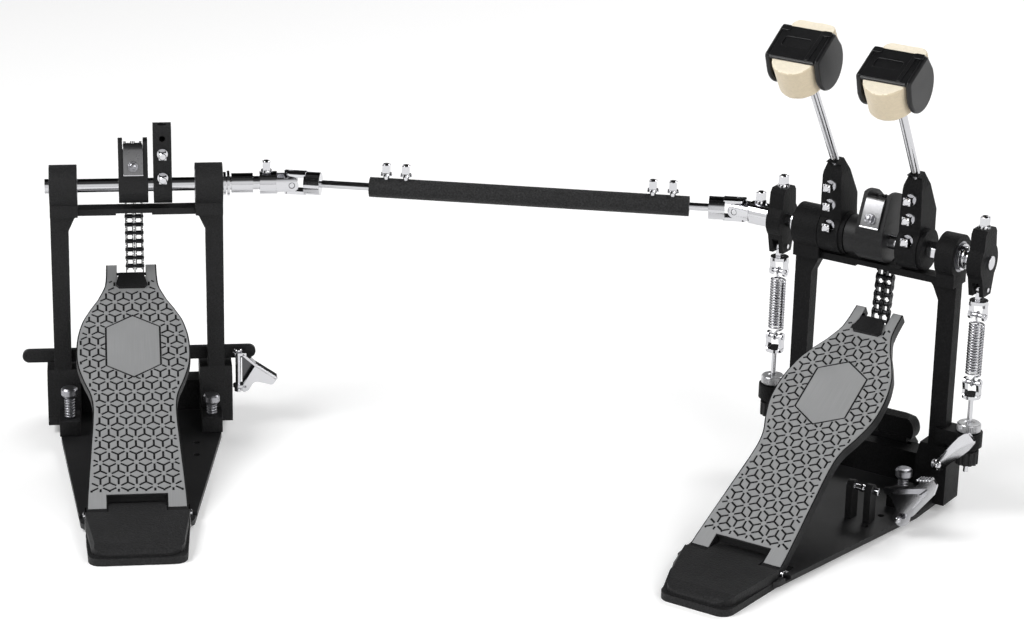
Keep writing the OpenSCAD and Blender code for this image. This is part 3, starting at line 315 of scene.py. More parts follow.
class Wires:
    """The nodes of one tree, made and linked in one go"""

    def __init__(self, tree):
        self.tree = tree

    def put(self, socket, value):
        """Links a socket or sets it; None leaves it as it is"""
        if isinstance(value, bpy.types.NodeSocket):
            self.tree.links.new(value, socket)
        elif value is not None:
            socket.default_value = value

    def node(self, kind, **values):
        """A node with its settings; a key with a leading underscore stands for an input"""
        node = self.tree.nodes.new("ShaderNode" + kind)
        for key, value in values.items():
            if key.startswith("_"):
                self.put(node.inputs[key[1:].replace("_", " ")], value)
            else:
                setattr(node, key, value)
        return node

    def maths(self, operation, a, b=None, kind="Math"):
        node = self.node(kind, operation=operation)
        self.put(node.inputs[0], a)
        self.put(node.inputs[1], b)
        return node.outputs[0]

    def plus(self, a, b):
        return self.maths("ADD", a, b)

    def times(self, a, b):
        return self.maths("MULTIPLY", a, b)

    def most(self, a, b):
        return self.maths("MAXIMUM", a, b)

    def noise(self, vector, scale, detail, **values):
        return self.node("TexNoise", _Vector=vector, _Scale=scale, _Detail=detail, **values).outputs["Fac"]

    def ramp(self, value, low, high, to_low, to_high, **values):
        """A value mapped from one range to another"""
        return self.node("MapRange", **values, _Value=value, _From_Min=low, _From_Max=high, _To_Min=to_low,
                         _To_Max=to_high).outputs["Result"]

    def scaled(self, color, share):
        """A colour made lighter or darker"""
        node = self.node("VectorMath", operation="SCALE", _Scale=share)
        self.put(node.inputs[0], color)
        return node.outputs["Vector"]


def coat_look(w, given):
    """Powder coat: fine orange peel, with broad wear and dust"""
    here = w.node("TexCoord").outputs["Object"]
    scale = w.maths("DIVIDE", 1.0, given["Grain"])
    peel = w.noise(here, scale, 3.0, _Roughness=0.6)
    specks = w.node("TexVoronoi", feature="F1", _Vector=here, _Scale=w.times(scale, 0.8)).outputs["Distance"]
    wear = w.plus(w.times(w.noise(here, 38.0, 4.0), 0.22), -0.11)
    return {"Color": w.scaled(given["Color"], w.ramp(peel, 0.35, 0.72, 0.45, 2.3)),
            "Roughness": w.plus(given["Roughness"], w.plus(wear, w.times(peel, 0.12))),
            "Height": w.plus(peel, w.times(specks, 0.7))}


def brush_look(w, given):
    """Brushed metal: long fine streaks along one direction of the surface's own coordinates"""
    size = w.node("CombineXYZ", _X=given["Across"], _Y=given["Along"], _Z=given["Across"]).outputs[0]
    streak = w.noise(w.maths("MULTIPLY", given["Vector"], size, "VectorMath"), 1.0, 3.0, _Roughness=0.65)
    haze = w.noise(given["Vector"], 45.0, 2.0)
    both = w.plus(w.times(streak, 0.75), w.times(haze, 0.25))
    spread = w.times(w.maths("SUBTRACT", both, 0.5), given["Contrast"])
    return {"Color": w.scaled(given["Color"], w.plus(1.0, w.times(spread, 2.0))),
            "Roughness": w.plus(given["Roughness"], spread), "Height": streak}


def smudge_look(w, given):
    """Handling marks on polished metal: soft smears and fine pits"""
    here = w.node("TexCoord").outputs["Object"]
    smear = w.noise(here, given["Scale"], 5.0, _Roughness=0.7, _Distortion=0.6)
    pits = w.noise(here, w.times(given["Scale"], 14.0), 2.0)
    return {"Roughness": w.plus(given["Roughness"], w.times(smear, given["Smears"])),
            "Height": w.plus(w.times(smear, 0.5), pits)}


def felt_look(w, given):
    """Pressed felt: matted fibres over thin pressed layers"""
    fibre = w.noise(given["Vector"], 900.0, 6.0, _Roughness=0.75, _Distortion=1.4)
    wisps = w.noise(given["Vector"], 210.0, 5.0, _Roughness=0.65, _Distortion=2.2)
    up = w.node("SeparateXYZ", _Vector=given["Vector"]).outputs["Z"]
    layer = w.maths("SINE", w.times(w.plus(up, w.times(wisps, 0.0022)), given["Layers"]))
    shade = w.plus(w.times(wisps, 0.26), w.plus(w.times(fibre, 0.16), w.times(layer, 0.05)))
    return {"Color": w.scaled(given["Color"], w.plus(0.80, shade)),
            "Roughness": w.plus(0.86, w.times(fibre, 0.1)),
            "Height": w.plus(fibre, w.plus(w.times(layer, 0.10), w.times(wisps, 0.6)))}


# Name, inputs and nodes of each group
LOOKS = {
    "coat": ("powder_coat", {"Color": (0.02, 0.02, 0.02, 1), "Grain": 0.0009, "Roughness": 0.5}, coat_look),
    "brush": ("brushed_streaks", {"Vector": None, "Color": (0.5, 0.5, 0.5, 1), "Across": 2400.0,
                                  "Along": 26.0, "Roughness": 0.34, "Contrast": 0.25}, brush_look),
    "smudge": ("handling_marks", {"Roughness": 0.1, "Smears": 0.12, "Scale": 90.0}, smudge_look),
    "felt": ("pressed_felt", {"Vector": None, "Color": (0.8, 0.73, 0.6, 1), "Layers": 900.0}, felt_look),
}
SOCKETS = {"Vector": "NodeSocketVector", "Color": "NodeSocketColor"}
GROUPS = {}
FINISH = {}


def build_group(name, inputs, look):
    group = bpy.data.node_groups.new(name, "ShaderNodeTree")

    def new_socket(label, way):
        return group.interface.new_socket(name=label, in_out=way,
                                          socket_type=SOCKETS.get(label, "NodeSocketFloat"))

    for label, value in inputs.items():
        socket = new_socket(label, "INPUT")
        if value is not None:
            socket.default_value = value
    results = look(Wires(group), group.nodes.new("NodeGroupInput").outputs)
    for label in results:
        new_socket(label, "OUTPUT")
    end = group.nodes.new("NodeGroupOutput")
    for label, value in results.items():
        group.links.new(value, end.inputs[label])
    return group


def new_finish(name, **even):
    """A material, its wires and its shader, with what is the same all over the surface"""
    material = bpy.data.materials.new(name)
    material.use_nodes = True
    shader = material.node_tree.nodes["Principled BSDF"]
    for label, value in even.items():
        shader.inputs[label.replace("_", " ")].default_value = value
    return material, Wires(material.node_tree), shader


def dress(w, shader, look, depth, strength, **inputs):
    """Puts what a group gives on a shader; depth is that of its bumps"""
    group = w.node("Group", node_tree=GROUPS[look])
    for label, value in inputs.items():
        w.put(group.inputs[label], value)
    w.put(shader.inputs["Base Color"], group.outputs.get("Color"))
    w.put(shader.inputs["Roughness"], group.outputs["Roughness"])
    bump = w.node("Bump", _Strength=strength, _Distance=depth, _Height=group.outputs["Height"])
    w.put(shader.inputs["Normal"], bump.outputs["Normal"])


def coated(name, color, grain, roughness, depth, specular=0.28):
    """A powder coated or moulded black surface"""
    material, w, shader = new_finish(name, Specular_IOR_Level=specular)
    dress(w, shader, "coat", depth, 1.0, Color=color, Grain=grain, Roughness=roughness)
    return material


def polished(name, color, roughness, smears, scale=90.0):
    """A plated or bare metal surface with handling marks"""
    material, w, shader = new_finish(name, Base_Color=color, Metallic=1.0)
    dress(w, shader, "smudge", 0.00002, 0.5, Roughness=roughness, Smears=smears, Scale=scale)
    return material


def brushed(name, color, across, along, roughness, contrast, metallic, coordinates):
    """A metal surface with streaks along one direction"""
    material, w, shader = new_finish(name, Metallic=metallic)
    dress(w, shader, "brush", 0.00002, 0.4, Vector=w.node("TexCoord").outputs[coordinates], Color=color,
          Across=across, Along=along, Roughness=roughness, Contrast=contrast)
    return material


def felt_finish(name, color, pale):
    """Felt that is paler on the faces that the masked attribute marks: painted light on the flat ends of the
    block
    """
    material, w, shader = new_finish(name, Specular_IOR_Level=0.2, Sheen_Weight=0.35, Sheen_Roughness=0.6)
    mask = w.node("Attribute", attribute_name="pale").outputs["Fac"]
    mix = w.node("Mix", data_type="RGBA", _A=color, _B=pale, _Factor=mask).outputs["Result"]
    dress(w, shader, "felt", 0.0004, 0.8, Color=mix, Vector=w.node("TexCoord").outputs["UV"])
    return material


# Name, colour, grain in metres, roughness, depth of the grain in metres and shine of the black finishes
COATS = {
    # The base plates' black is lighter than the board's: painted light that makes up for the board's shadow
    # on them
    "sheet": ("smooth_coat_painted_light", (0.010, 0.010, 0.0105, 1), 0.0006, 0.42, 0.00005, 0.25),
    "board": ("board_black", (0.006, 0.006, 0.0065, 1), 0.0008, 0.44, 0.00008),
    "moulded": ("grained_black_plastic", (0.009, 0.009, 0.0095, 1), 0.0011, 0.52, 0.00022),
    "cradle": ("satin_black_plastic", (0.005, 0.005, 0.0055, 1), 0.0008, 0.30, 0.00004, 0.4),
    "tube": ("rough_powder_coat", (0.012, 0.012, 0.0125, 1), 0.0012, 0.56, 0.00050),
    "cam": ("cam_black", (0.006, 0.006, 0.0065, 1), 0.0008, 0.40, 0.00008),
}
# Name, colour, roughness, strength and scale of the smears of the metal ones
METALS = {
    "chrome": ("chrome_plate", (0.60, 0.60, 0.62, 1), 0.06, 0.10),
    "knurled": ("knurled_nickel", (0.52, 0.52, 0.53, 1), 0.26, 0.15),
    "bearing": ("bearing_steel", (0.34, 0.34, 0.36, 1), 0.24, 0.15),
    # Chrome painted dark for the inside of the folded wing lever: painted shade and dark reflection
    "shaded": ("shaded_chrome", (0.10, 0.10, 0.105, 1), 0.16, 0.12),
    # The chain's near-black colour is painted dark reflection: its links are nickel
    "chain": ("chain_steel_painted_dark", (0.028, 0.028, 0.03, 1), 0.24, 0.22, 260.0),
    "spring": ("bright_spring_wire", (0.42, 0.42, 0.44, 1), 0.12, 0.12, 220.0),
}
# The width of the rounded edges in millimetres and the solids that each finish goes on
CAD_FINISH = {
    "casting": (1.0, "slave_frame slave_stabiliser slave_hub"),
    # The primary pedal's castings take a darker, less shiny copy of the casting coat: painted shade
    "casting in painted shade": (1.0, "primary_frame primary_hub secondary_hub right_rocker left_rocker hoop_jaw"),
    "sheet": (0.5, "primary_base_plate slave_base_plate"),
    "board": (0.6, "primary_footboard slave_footboard"),
    "moulded": (0.9, """primary_heel_plate slave_heel_plate lock_knobs primary_beater_cradle
                secondary_beater_cradle"""),
    "tube": (0.7, "drive_tube"),
    "chrome": (0.25, """primary_hinge_pin slave_hinge_pin tension_rods left_tension_nut right_tension_nut
               primary_wing_lever side_clamp_lever primary_shaft secondary_shaft slave_shaft
               primary_beater_rod secondary_beater_rod primary_key_screws secondary_key_screws
               slave_key_screws drive_key_screws drive_rod_right drive_rod_left joint_cross_left
               joint_cross_right right_stirrup left_stirrup right_spring left_spring slave_wing_lever"""),
    "bearing": (0.25, "primary_bearings slave_bearings primary_spurs slave_spurs"),
    "cam": (0.3, "primary_cam slave_cam"),
    "chain": (0.12, """primary_chain_upper primary_chain_middle primary_chain_run slave_chain_upper
              slave_chain_middle slave_chain_run"""),
    "felt": (1.0, "primary_beater_felt secondary_beater_felt"),
}


class PEDAL_OT_finishes(bpy.types.Operator):
    """Makes the node groups and finishes, and dresses the carried-over solids in them"""

    bl_idname = "pedal.finishes"
    bl_label = "Finishes"

    def execute(self, context):
        look = context.scene.pedal_finish
        for key, values in LOOKS.items():
            GROUPS[key] = build_group(*values)
        FINISH["casting"] = coated("textured_powder_coat", tuple(look.casting), look.grain, 0.48, 0.00030)
        # A darker, less shiny copy of the casting coat: painted shade on the primary pedal's castings
        FINISH["casting in painted shade"] = coated("powder_coat_painted_shade", (0.0035, 0.0035, 0.0038, 1), look.grain, 0.48,
                                        0.00030, 0.13)
        for key, values in COATS.items():
            FINISH[key] = coated(*values)
        for key, values in METALS.items():
            FINISH[key] = polished(*values)
        FINISH["clip"] = brushed("satin_clip_plate", (0.20, 0.20, 0.205, 1), 1500.0, 60.0, 0.30, 0.2, 1.0,
                                 "Object")
        FINISH["plate"] = brushed("brushed_board_plate", tuple(look.plate), 2600.0, 30.0, 0.36, 0.22, 0.45,
                                  "UV")
        FINISH["felt"] = felt_finish("cream_pressed_felt", tuple(look.felt), tuple(look.felt_painted_light))
        smooth = smooth_modifier_group()
        for key, (edge, names) in CAD_FINISH.items():
            for name in names.split():
                piece = NODES[name]
                piece.data.materials.clear()
                piece.data.materials.append(FINISH[key])
                join = piece.modifiers.new("joined corners", "WELD")
                join.merge_threshold = 0.000004
                flat = piece.modifiers.new("whole faces", "DECIMATE")
                flat.decimate_type = "DISSOLVE"
                flat.angle_limit = math.radians(1.2)
                shade = piece.modifiers.new("smooth shading", "NODES")
                shade.node_group = smooth
                soften(piece, edge, 2, 34)
        return {"FINISHED"}


def smooth_modifier_group():
    """Shades a carried-over solid smooth, so that its rounded edges catch the light"""
    group = bpy.data.node_groups.new("smooth_shading", "GeometryNodeTree")
    group.interface.new_socket(name="Geometry", in_out="INPUT", socket_type="NodeSocketGeometry")
    group.interface.new_socket(name="Geometry", in_out="OUTPUT", socket_type="NodeSocketGeometry")
    start, end = group.nodes.new("NodeGroupInput"), group.nodes.new("NodeGroupOutput")
    smooth = group.nodes.new("GeometryNodeSetShadeSmooth")
    group.links.new(start.outputs[0], smooth.inputs["Geometry"])
    group.links.new(smooth.outputs[0], end.inputs[0])
    return group


# ---- footboard plates ----


def board_half_width(s):
    """Half width of a footboard at a distance from its hinge pin, as the solids have it"""
    def key(i):
        k = BOARD_KEY[max(0, min(len(BOARD_KEY) - 1, i))]
        return k[0], k[1] * BOARD_HALF
    for i in range(len(BOARD_KEY) - 1):
        if s <= key(i + 1)[0] or i == len(BOARD_KEY) - 2:
            t = (s - key(i)[0]) / (key(i + 1)[0] - key(i)[0])
            a, b, c, d = key(i - 1)[1], key(i)[1], key(i + 1)[1], key(i + 2)[1]
            return 0.5 * (2 * b + (c - a) * t + (2 * a - 5 * b + 4 * c - d) * t * t
                          + (3 * b - a - 3 * c + d) * t ** 3)
    return key(len(BOARD_KEY) - 1)[1]


# The badge: its middle, half its width, and its apex and corners as distances from its middle
BADGE_S, BADGE_HALF, BADGE_APEX, BADGE_CORNER = 152.3, 18.8, 29.0, 18.1
# The first row of stars, the ends of the pattern, and how far it stays from the edges
PATTERN_S, PATTERN_ENDS, PATTERN_ROOM = 21.9, (17.2, 218), 2.6
# The toe cover's two ends and half its width at each
COVER_S, COVER_HALF = (208.9, 222.9), (12.2, 8.6)
# How much an arm falls short of its star, and the shortest piece of one that is cut
ARM_SHORT, LEAST_LOOSE_ARM = 1.85, 1.2


def badge_outline(grow):
    x, corner, apex = BADGE_HALF + grow, BADGE_CORNER + grow * 0.3, BADGE_APEX + grow * 1.12
    return [(x, BADGE_S - corner), (x, BADGE_S + corner), (0, BADGE_S + apex),
            (-x, BADGE_S + corner), (-x, BADGE_S - corner), (0, BADGE_S - apex)]


def in_badge(x, s, grow):
    x, s = abs(x), abs(s - BADGE_S)
    slope = (BADGE_APEX - BADGE_CORNER) / BADGE_HALF
    return x < BADGE_HALF + grow and s < BADGE_APEX + grow * 1.16 - slope * x


def in_cover(x, s, grow):
    if s < COVER_S[0] - grow:
        return False
    t = min(1, max(0, (s - COVER_S[0]) / (COVER_S[1] - COVER_S[0])))
    return abs(x) < COVER_HALF[0] + (COVER_HALF[1] - COVER_HALF[0]) * t + grow


def may_cut(x, s):
    """Where the pattern may be cut into a plate"""
    return (PATTERN_ENDS[0] < s < PATTERN_ENDS[1] and abs(x) < board_half_width(s) - PATTERN_ROOM
            and not in_badge(x, s, 1.3) and not in_cover(x, s, 1.0))


def arm_ends(x, s, head, reach, step=0.15):
    """From where to where an arm may be cut, along its heading; it starts at nought or is loose"""
    along_x, along_s = polar(1, head)
    inside = [may_cut(x + along_x * step * k, s + along_s * step * k) for k in range(int(reach / step) + 1)]
    if all(inside):
        return 0, reach
    if inside[0]:
        return 0, step * inside.index(False)
    start = step * (len(inside) - inside[::-1].index(False))
    return start, reach if reach - start > LEAST_LOOSE_ARM else start


def arm_point(x, s, head, distance, offset):
    """A point at a distance along an arm and an offset to its left"""
    along = Vector(polar(1, head))
    return tuple(Vector((x, s)) + along * distance + Vector((-along.y, along.x)) * offset)


def pattern_holes(pitch, width):
    """Three-armed cuts at the corners between the stars of a cube pattern"""
    row = pitch * math.sqrt(3) / 2
    arm = pitch / math.sqrt(3)
    reach, half = arm - ARM_SHORT, width / 2
    holes = []
    for j in range(-1, 19):
        for i in range(-5, 6):
            x = (i + (0.5 if j % 2 else 0)) * pitch
            for s, heads in ((PATTERN_S + j * row + arm, (270, 30, 150)),
                             (PATTERN_S + j * row - arm, (90, 210, 330))):
                ends = [(head, *arm_ends(x, s, head, reach)) for head in heads]
                if may_cut(x, s):
                    ring = []
                    for head, start, end in ends:
                        size = max(0 if start else end, width * 0.6)
                        ring += [arm_point(x, s, head, size, side) for side in (-half, half)]
                        ring.append(arm_point(x, s, head + 60, half / math.sin(math.radians(60)), 0))
                    holes.append(sorted(ring, key=lambda p: math.atan2(p[1] - s, p[0] - x)))
                holes += [[arm_point(x, s, head, *corner) for corner in (
                              (start, -half), (end, -half), (end, half), (start, half))]
                          for head, start, end in ends if 0 < start < end]
    return holes


def mesh_outlines(rings):
    """Triangles over closed outlines, with the outlines that each of them lies in"""
    points, loops = [], []
    for ring in rings:
        loops.append(list(range(len(points), len(points) + len(ring))))
        points += [Vector(p) for p in ring]
    verts, _, faces, _, _, owners = geometry.delaunay_2d_cdt(points, [], loops, 0, 1e-5)
    return verts, faces, [set(own) for own in owners]


def board_outline(inset):
    """Outline of a plate, with the notch at the hinge and the slot at the toe"""
    heel, toe, count = 2.6, 232.4, 92
    steps = [heel + (toe - heel) * k / count for k in range(count + 1)]
    right = [(board_half_width(s) - inset, s) for s in steps]
    left = [(-x, s) for x, s in reversed(right)]
    slot_x, slot_s = 10.9, COVER_S[1] - 1.9
    notch_x, notch_s = 21.3, 15.0
    slot = [(slot_x, toe), (slot_x, slot_s), (-slot_x, slot_s), (-slot_x, toe)]
    notch = [(-notch_x, heel), (-notch_x, notch_s), (notch_x, notch_s), (notch_x, heel)]
    return right + slot + left + notch


class PEDAL_OT_board_plates(bpy.types.Operator):
    """Makes the brushed plates on the footboards, with the cube pattern cut through them"""

    bl_idname = "pedal.board_plates"
    bl_label = "Footboard plates"

    def execute(self, context):
        sizes = context.scene.pedal_shape
        width, pitch = sizes.stroke / MM, sizes.star_pitch / MM
        holes = pattern_holes(pitch, width)
        groove = 1.4
        rings = [board_outline(1.0)] + holes + [badge_outline(groove), badge_outline(0)]
        badge_line, badge = len(rings) - 2, len(rings) - 1
        verts, faces, owners = mesh_outlines(rings)
        kept = [f for f, own in zip(faces, owners)
                if 0 in own and (own == {0} or badge in own and own <= {0, badge_line, badge})]
        for side in ("primary", "slave"):
            form = Form()
            form.sheet_slab(verts, kept, BOARD_TOP - 0.3, BOARD_TOP - 0.3 + sizes.plate_t / MM)
            place = board_place(side)
            piece = form.build(side + "_board_plate", FINISH["plate"], side + "_board", "board_metal",
                               place=place, angle=30)
            flat_uv(piece, place)
        return {"FINISHED"}


def board_place(side):
    return (PEDAL[side] @ shift(BOARD_X, -PIN_BACK, PIN_Z) @ turn(TILT[side], "X"))


def flat_uv(piece, place):
    """Surface coordinates in metres, in the piece's own frame"""
    layer = piece.data.uv_layers.new(name="surface")
    back = place.inverted()
    for loop in piece.data.loops:
        p = back @ piece.data.vertices[loop.vertex_index].co
        layer.data[loop.index].uv = (p.x, p.y)


# ---- beaters ----


def beater_place(side):
    b = BEATERS[side]
    return (shift(0, 0, SHAFT_Z) @ turn(b["lean"], "X") @ shift(b["x"], HUB_MOUTH[0], HUB_MOUTH[1])
            @ turn(BEATER_LEAN, "X") @ shift(0, 0, b["reach"]))


FELT_W, FELT_L, FELT_H = 32.6, 50.0, 25.0


def felt_outline(inset=0.0):
    """Plan of a felt block: round towards the player, flat towards the drum"""
    half, front, corner = FELT_W / 2 - inset, FELT_L / 2 - inset, 5.5
    round_at = -FELT_L / 2 + FELT_W / 2
    side = [round_at + (front - corner - round_at) * k / 8 for k in range(1, 8)]
    return (circle_points(0, round_at, half, 180, 360, 40) + [(half, y) for y in side]
            + circle_points(half - corner, front - corner, corner, 0, 90, 7)
            + [(half - corner - 2 * (half - corner) * k / 10, front) for k in range(1, 10)]
            + circle_points(-half + corner, front - corner, corner, 90, 180, 7)
            + [(-half, y) for y in reversed(side)])


class PEDAL_OT_felts(bpy.types.Operator):
    """Makes the felt blocks: pressed felt with soft edges and a slightly uneven nap"""

    bl_idname = "pedal.felts"
    bl_label = "Felt blocks"

    def execute(self, context):
        edge, half = 1.7, FELT_H / 2
        for side, seed in (("primary", 3.1), ("secondary", 11.7)):
            turned = [polar(edge, 18 * k) for k in range(6)]
            levels = [(edge - y, edge - half - x) for x, y in turned]
            levels += [(0.0, edge - half + (FELT_H - 2 * edge) * k / 9) for k in range(1, 9)]
            levels += [(edge - y, half - edge + x) for x, y in reversed(turned)]
            rim = felt_outline(edge)
            caps = [[[(x * share, y * share, z) for x, y in rim] for share in (0.82, 0.6, 0.36, 0.14)]
                    + [[(0, 0, z)]] for z in (-half, half)]
            form = Form()
            form.skin(caps[0][::-1] + [[(x, y, z) for x, y in felt_outline(inset)] for inset, z in levels]
                      + caps[1])
            form.bm.normal_update()
            for v in form.bm.verts:
                broad = noise.noise(v.co * 0.16 + Vector((seed, 0, 0)))
                fine = noise.noise(v.co * 0.55 + Vector((0, seed, 0)))
                v.co += v.normal * (0.22 * broad + 0.10 * fine - 0.12)
            place = beater_place(side)
            piece = form.build(side + "_felt_block", FINISH["felt"], side + "_rotor", "felt", place=place,
                               replaces=[side + "_beater_felt"], angle=80)
            felt_uv(piece, place)
        return {"FINISHED"}


def felt_uv(piece, place):
    """Surface coordinates in metres that run round the block and up its layers"""
    layer = piece.data.uv_layers.new(name="surface")
    back = place.inverted()
    mesh = piece.data
    # The pale mask marks both flat ends for the paler colour, which is painted light
    pale = mesh.attributes.new(name="pale", type="FLOAT", domain="FACE")
    for face in mesh.polygons:
        up = abs((back.to_3x3() @ face.normal).z) > 0.7
        pale.data[face.index].value = 1.0 if up else 0.0
        for index in face.loop_indices:
            p = back @ mesh.vertices[mesh.loops[index].vertex_index].co
            layer.data[index].uv = (p.x, p.y) if up else (math.atan2(p.y, p.x) * 0.02, p.z)


class PEDAL_OT_cradles(bpy.types.Operator):
    """Makes the plastic cradles that hold the felt blocks"""

    bl_idname = "pedal.cradles"
    bl_label = "Beater cradles"

    def execute(self, context):
        wall, half, top = 4.0, FELT_W / 2 + 0.02, FELT_H / 2 + 3.4
        for side in ("primary", "secondary"):
            form = Form()
            arc = circle_points(0.5, 0, 18, 180, 360, 36)
            cheek = arc + rounded([(18.5, 2), (15.0, top), (-14.0, top), (-17.5, 2)], [0, 3.2, 3.2, 0], 5)
            for low in (-half - wall, half):
                form.slab(cheek, low, low + wall, SIDEWAYS)
            form.build(side + "_cradle_cheeks", FINISH["cradle"], side + "_rotor", "black_plastic",
                       place=beater_place(side), bevel=1.9, segments=5, angle=40)
            form = Form()
            plate = [(-half - 0.4, -14.0), (half + 0.4, -14.0), (half + 0.4, 14.6), (-half - 0.4, 14.6)]
            window = rounded([(-half + 4, -3.5), (half - 9, -3.5), (half - 9, 5.0), (-half + 4, 5.0)], 1.6, 4)
            form.slab(plate, FELT_H / 2 + 0.05, top - 0.7)
            form.slab(plate, top - 0.7, top, holes=[window])
            rib = [(half - 6.6, -13.6), (half - 3.6, -13.6), (half - 2.2, 14.2), (half - 5.2, 14.2)]
            form.slab(rounded(rib, 0.8, 3), top - 0.2, top + 0.8)
            for x in (-half - 2.4, half - 4.4):
                tab = [(x, 9.6), (x + 6.8, 9.6), (x + 6.8, 14.4), (x, 14.4)]
                form.slab(rounded(tab, 1.2, 3), top - 0.4, top + 0.9)
            form.build(side + "_cradle", FINISH["cradle"], side + "_rotor", "black_plastic",
                       place=beater_place(side), replaces=[side + "_beater_cradle"], bevel=1.1,
                       segments=3, angle=40)
        return {"FINISHED"}


# ---- springs ----


class PEDAL_OT_springs(bpy.types.Operator):
    """Makes the pull springs, with hooked ends round their pins"""

    bl_idname = "pedal.springs"
    bl_label = "Springs"

    def execute(self, context):
        coils, steps = context.scene.pedal_shape.coils, 18
        low, high = SPRING_PINS
        radius, wire, room = 5.1, 0.70, 6.0
        # Each hook goes round its pin and then out to the coils: x, y and the height above the pin
        bends = [polar(2.5, -115 + 205 * k / 12) for k in range(13)]
        hook = [(0, -y * 0.98, 0.2 - x) for x, y in bends] + [(0.6, -2.9, 2.6), (2.2, -3.2, 4.6)]
        count = coils * steps
        coil = [(*polar(radius, -50 + 360 * i / steps), low + room + (high - low - 2 * room) * i / count)
                for i in range(count + 1)]
        path = ([(x, y, low + up) for x, y, up in hook] + coil
                + [(x, y, high - up) for x, y, up in reversed(hook)])
        for side, sign in (("right", 1), ("left", -1)):
            form = Form()
            form.tube([(x + sign * ROCKER_X, y, z) for x, y, z in path], [wire] * len(path))
            piece = form.build(side + "_spring_wire", FINISH["spring"], None, None,
                               replaces=[side + "_spring"], angle=60)
            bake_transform(piece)
        return {"FINISHED"}


# ---- chain clips ----


class PEDAL_OT_chain_clips(bpy.types.Operator):
    """Makes the bowed plates that clip the chains to their cams, with lip and square screw"""

    bl_idname = "pedal.chain_clips"
    bl_label = "Chain clips"

    def execute(self, context):
        half_x, half_y, thick = 7.1, 11.6, 1.3
        steps = [half_y * (k / 12 - 1) for k in range(25)]
        bowed = [(y, 1.6 + 0.6 * (1 - (y / half_y) ** 2) - 0.08 * max(0, y - 7.6) ** 2) for y in steps]
        lip = [(-half_y - 0.1, 0.4), (-half_y + 1.0, 0.4), (-half_y + 1.0, 2.2), (-half_y - 0.1, 2.2)]
        for side in ("primary", "slave"):
            place = (PEDAL[side] @ shift(CAM_X, CLIP_AT[0], SHAFT_Z + CLIP_AT[1]) @ turn(CLIP_LEAN, "X"))
            plate = Form()
            plate.slab(bowed + [(y, z - thick) for y, z in reversed(bowed)], -half_x, half_x, SIDEWAYS)
            plate.build(side + "_clip_plate", FINISH["clip"], side + "_rotor", "chrome", place=place,
                        replaces=[side + "_chain_clip"], bevel=0.3)
            bright = Form()
            bright.slab(lip, -half_x, half_x, SIDEWAYS)
            bright.build(side + "_clip_lip", FINISH["chrome"], side + "_rotor", "chrome", place=place,
                         bevel=0.2)
            seat = Matrix.Translation((0, -5, 0.3))
            screw = Form()
            screw.lathe([(0, 1.4), (3.9, 1.4), (3.9, 2.2), (3.4, 2.8), (0, 2.8)], seat, 32)
            screw.slab(rounded([(-2.5, -2.5), (2.5, -2.5), (2.5, 2.5), (-2.5, 2.5)], 0.5, 3), 2.7, 5.6, seat)
            screw.lathe([(0, 5.5), (2.4, 5.5), (2.3, 6.0), (1.7, 6.4), (0, 6.5)], seat, 24)
            screw.build(side + "_clip_screw", FINISH["bearing"], side + "_rotor", "chrome", place=place,
                        bevel=0.25, segments=2)
        return {"FINISHED"}


# ---- levers and nuts ----


class PEDAL_OT_thumb_lever(bpy.types.Operator):
    """Makes the side clamp's hollow thumb lever with its ribbed pad, pin and cross screw"""

    bl_idname = "pedal.thumb_lever"
    bl_label = "Thumb lever"

    def execute(self, context):
        foot_at = (16, -15.4)
        foot = circle_points(*foot_at, 6.4, 200, 335, 12)
        body = rounded([(24.2, -13.0), (39.4, 7.2), (41.4, 15.2), (37.6, 19.4), (28.4, 16.8), (27.2, 10.8),
                        (1.0, 3.4), (2.0, 0.0), (7.4, -1.6), (11.6, -7.4)],
                       [2, 5, 3, 3, 2.2, 4, 1.2, 1.5, 3, 4], 5)
        hollow = rounded([(7.5, 1.9), (27.0, 7.2), (33.4, 8.4), (30.2, 1.4), (22.6, -8.6), (17.2, -9.6),
                          (13.8, -6.0), (11.0, -0.8)], [1.5, 2, 2, 2, 3, 3, 2, 2], 4)
        form = Form()
        form.slab(foot + body, -4, -1.5, UPRIGHT)
        form.slab(foot + body, -1.5, 4, UPRIGHT, [hollow])
        for k in range(5):
            rib = (28.6 + 2.2 * k, 17.5 + 0.45 * k)
            form.tube([UPRIGHT @ Vector((*rib, z)) for z in (-3.7, -3.2, 3.2, 3.7)],
                      [0.3, 0.8, 0.8, 0.3], 10)
        form.lathe([(0, 5.0), (1.6, 4.9), (2.2, 4.3), (2.2, 2), (0, 2)],
                   UPRIGHT @ Matrix.Translation((*foot_at, 0)), 24)
        form.build("thumb_lever_casting", FINISH["chrome"], "clamp_screw", "chrome",
                   place=shift(*THUMB_AT), replaces=["side_clamp_lever"], bevel=0.7, segments=3, angle=40)
        screw = Form()
        along = turn(90, "Y")
        thread = [(2.0 + 0.25 * (k % 2), -22 + 0.5 * k) for k in range(33)]
        shank = [(0, -25.4), (1.6, -25.4), (2.0, -25), *thread, (2.6, -5.6), (2.6, -1), (0, -1)]
        nut = [(0, -24.6), (3.9, -24.6), (4.3, -24.2), (4.3, -19.6), (3.9, -19.2), (0, -19.2)]
        screw.lathe(shank, along, 24)
        screw.lathe(nut, along, 6)
        screw.lathe([(0, -16.4)] + [(2.9 * math.sin(a), -13.5 - 2.9 * math.cos(a))
                                    for a in (0.5, 1.0, 1.57, 2.1, 2.6)] + [(0, -10.6)], along, 20)
        screw.build("clamp_cross_screw", FINISH["chrome"], "clamp_screw", "chrome",
                    place=shift(*THUMB_AT), bevel=0.15, angle=40)
        return {"FINISHED"}


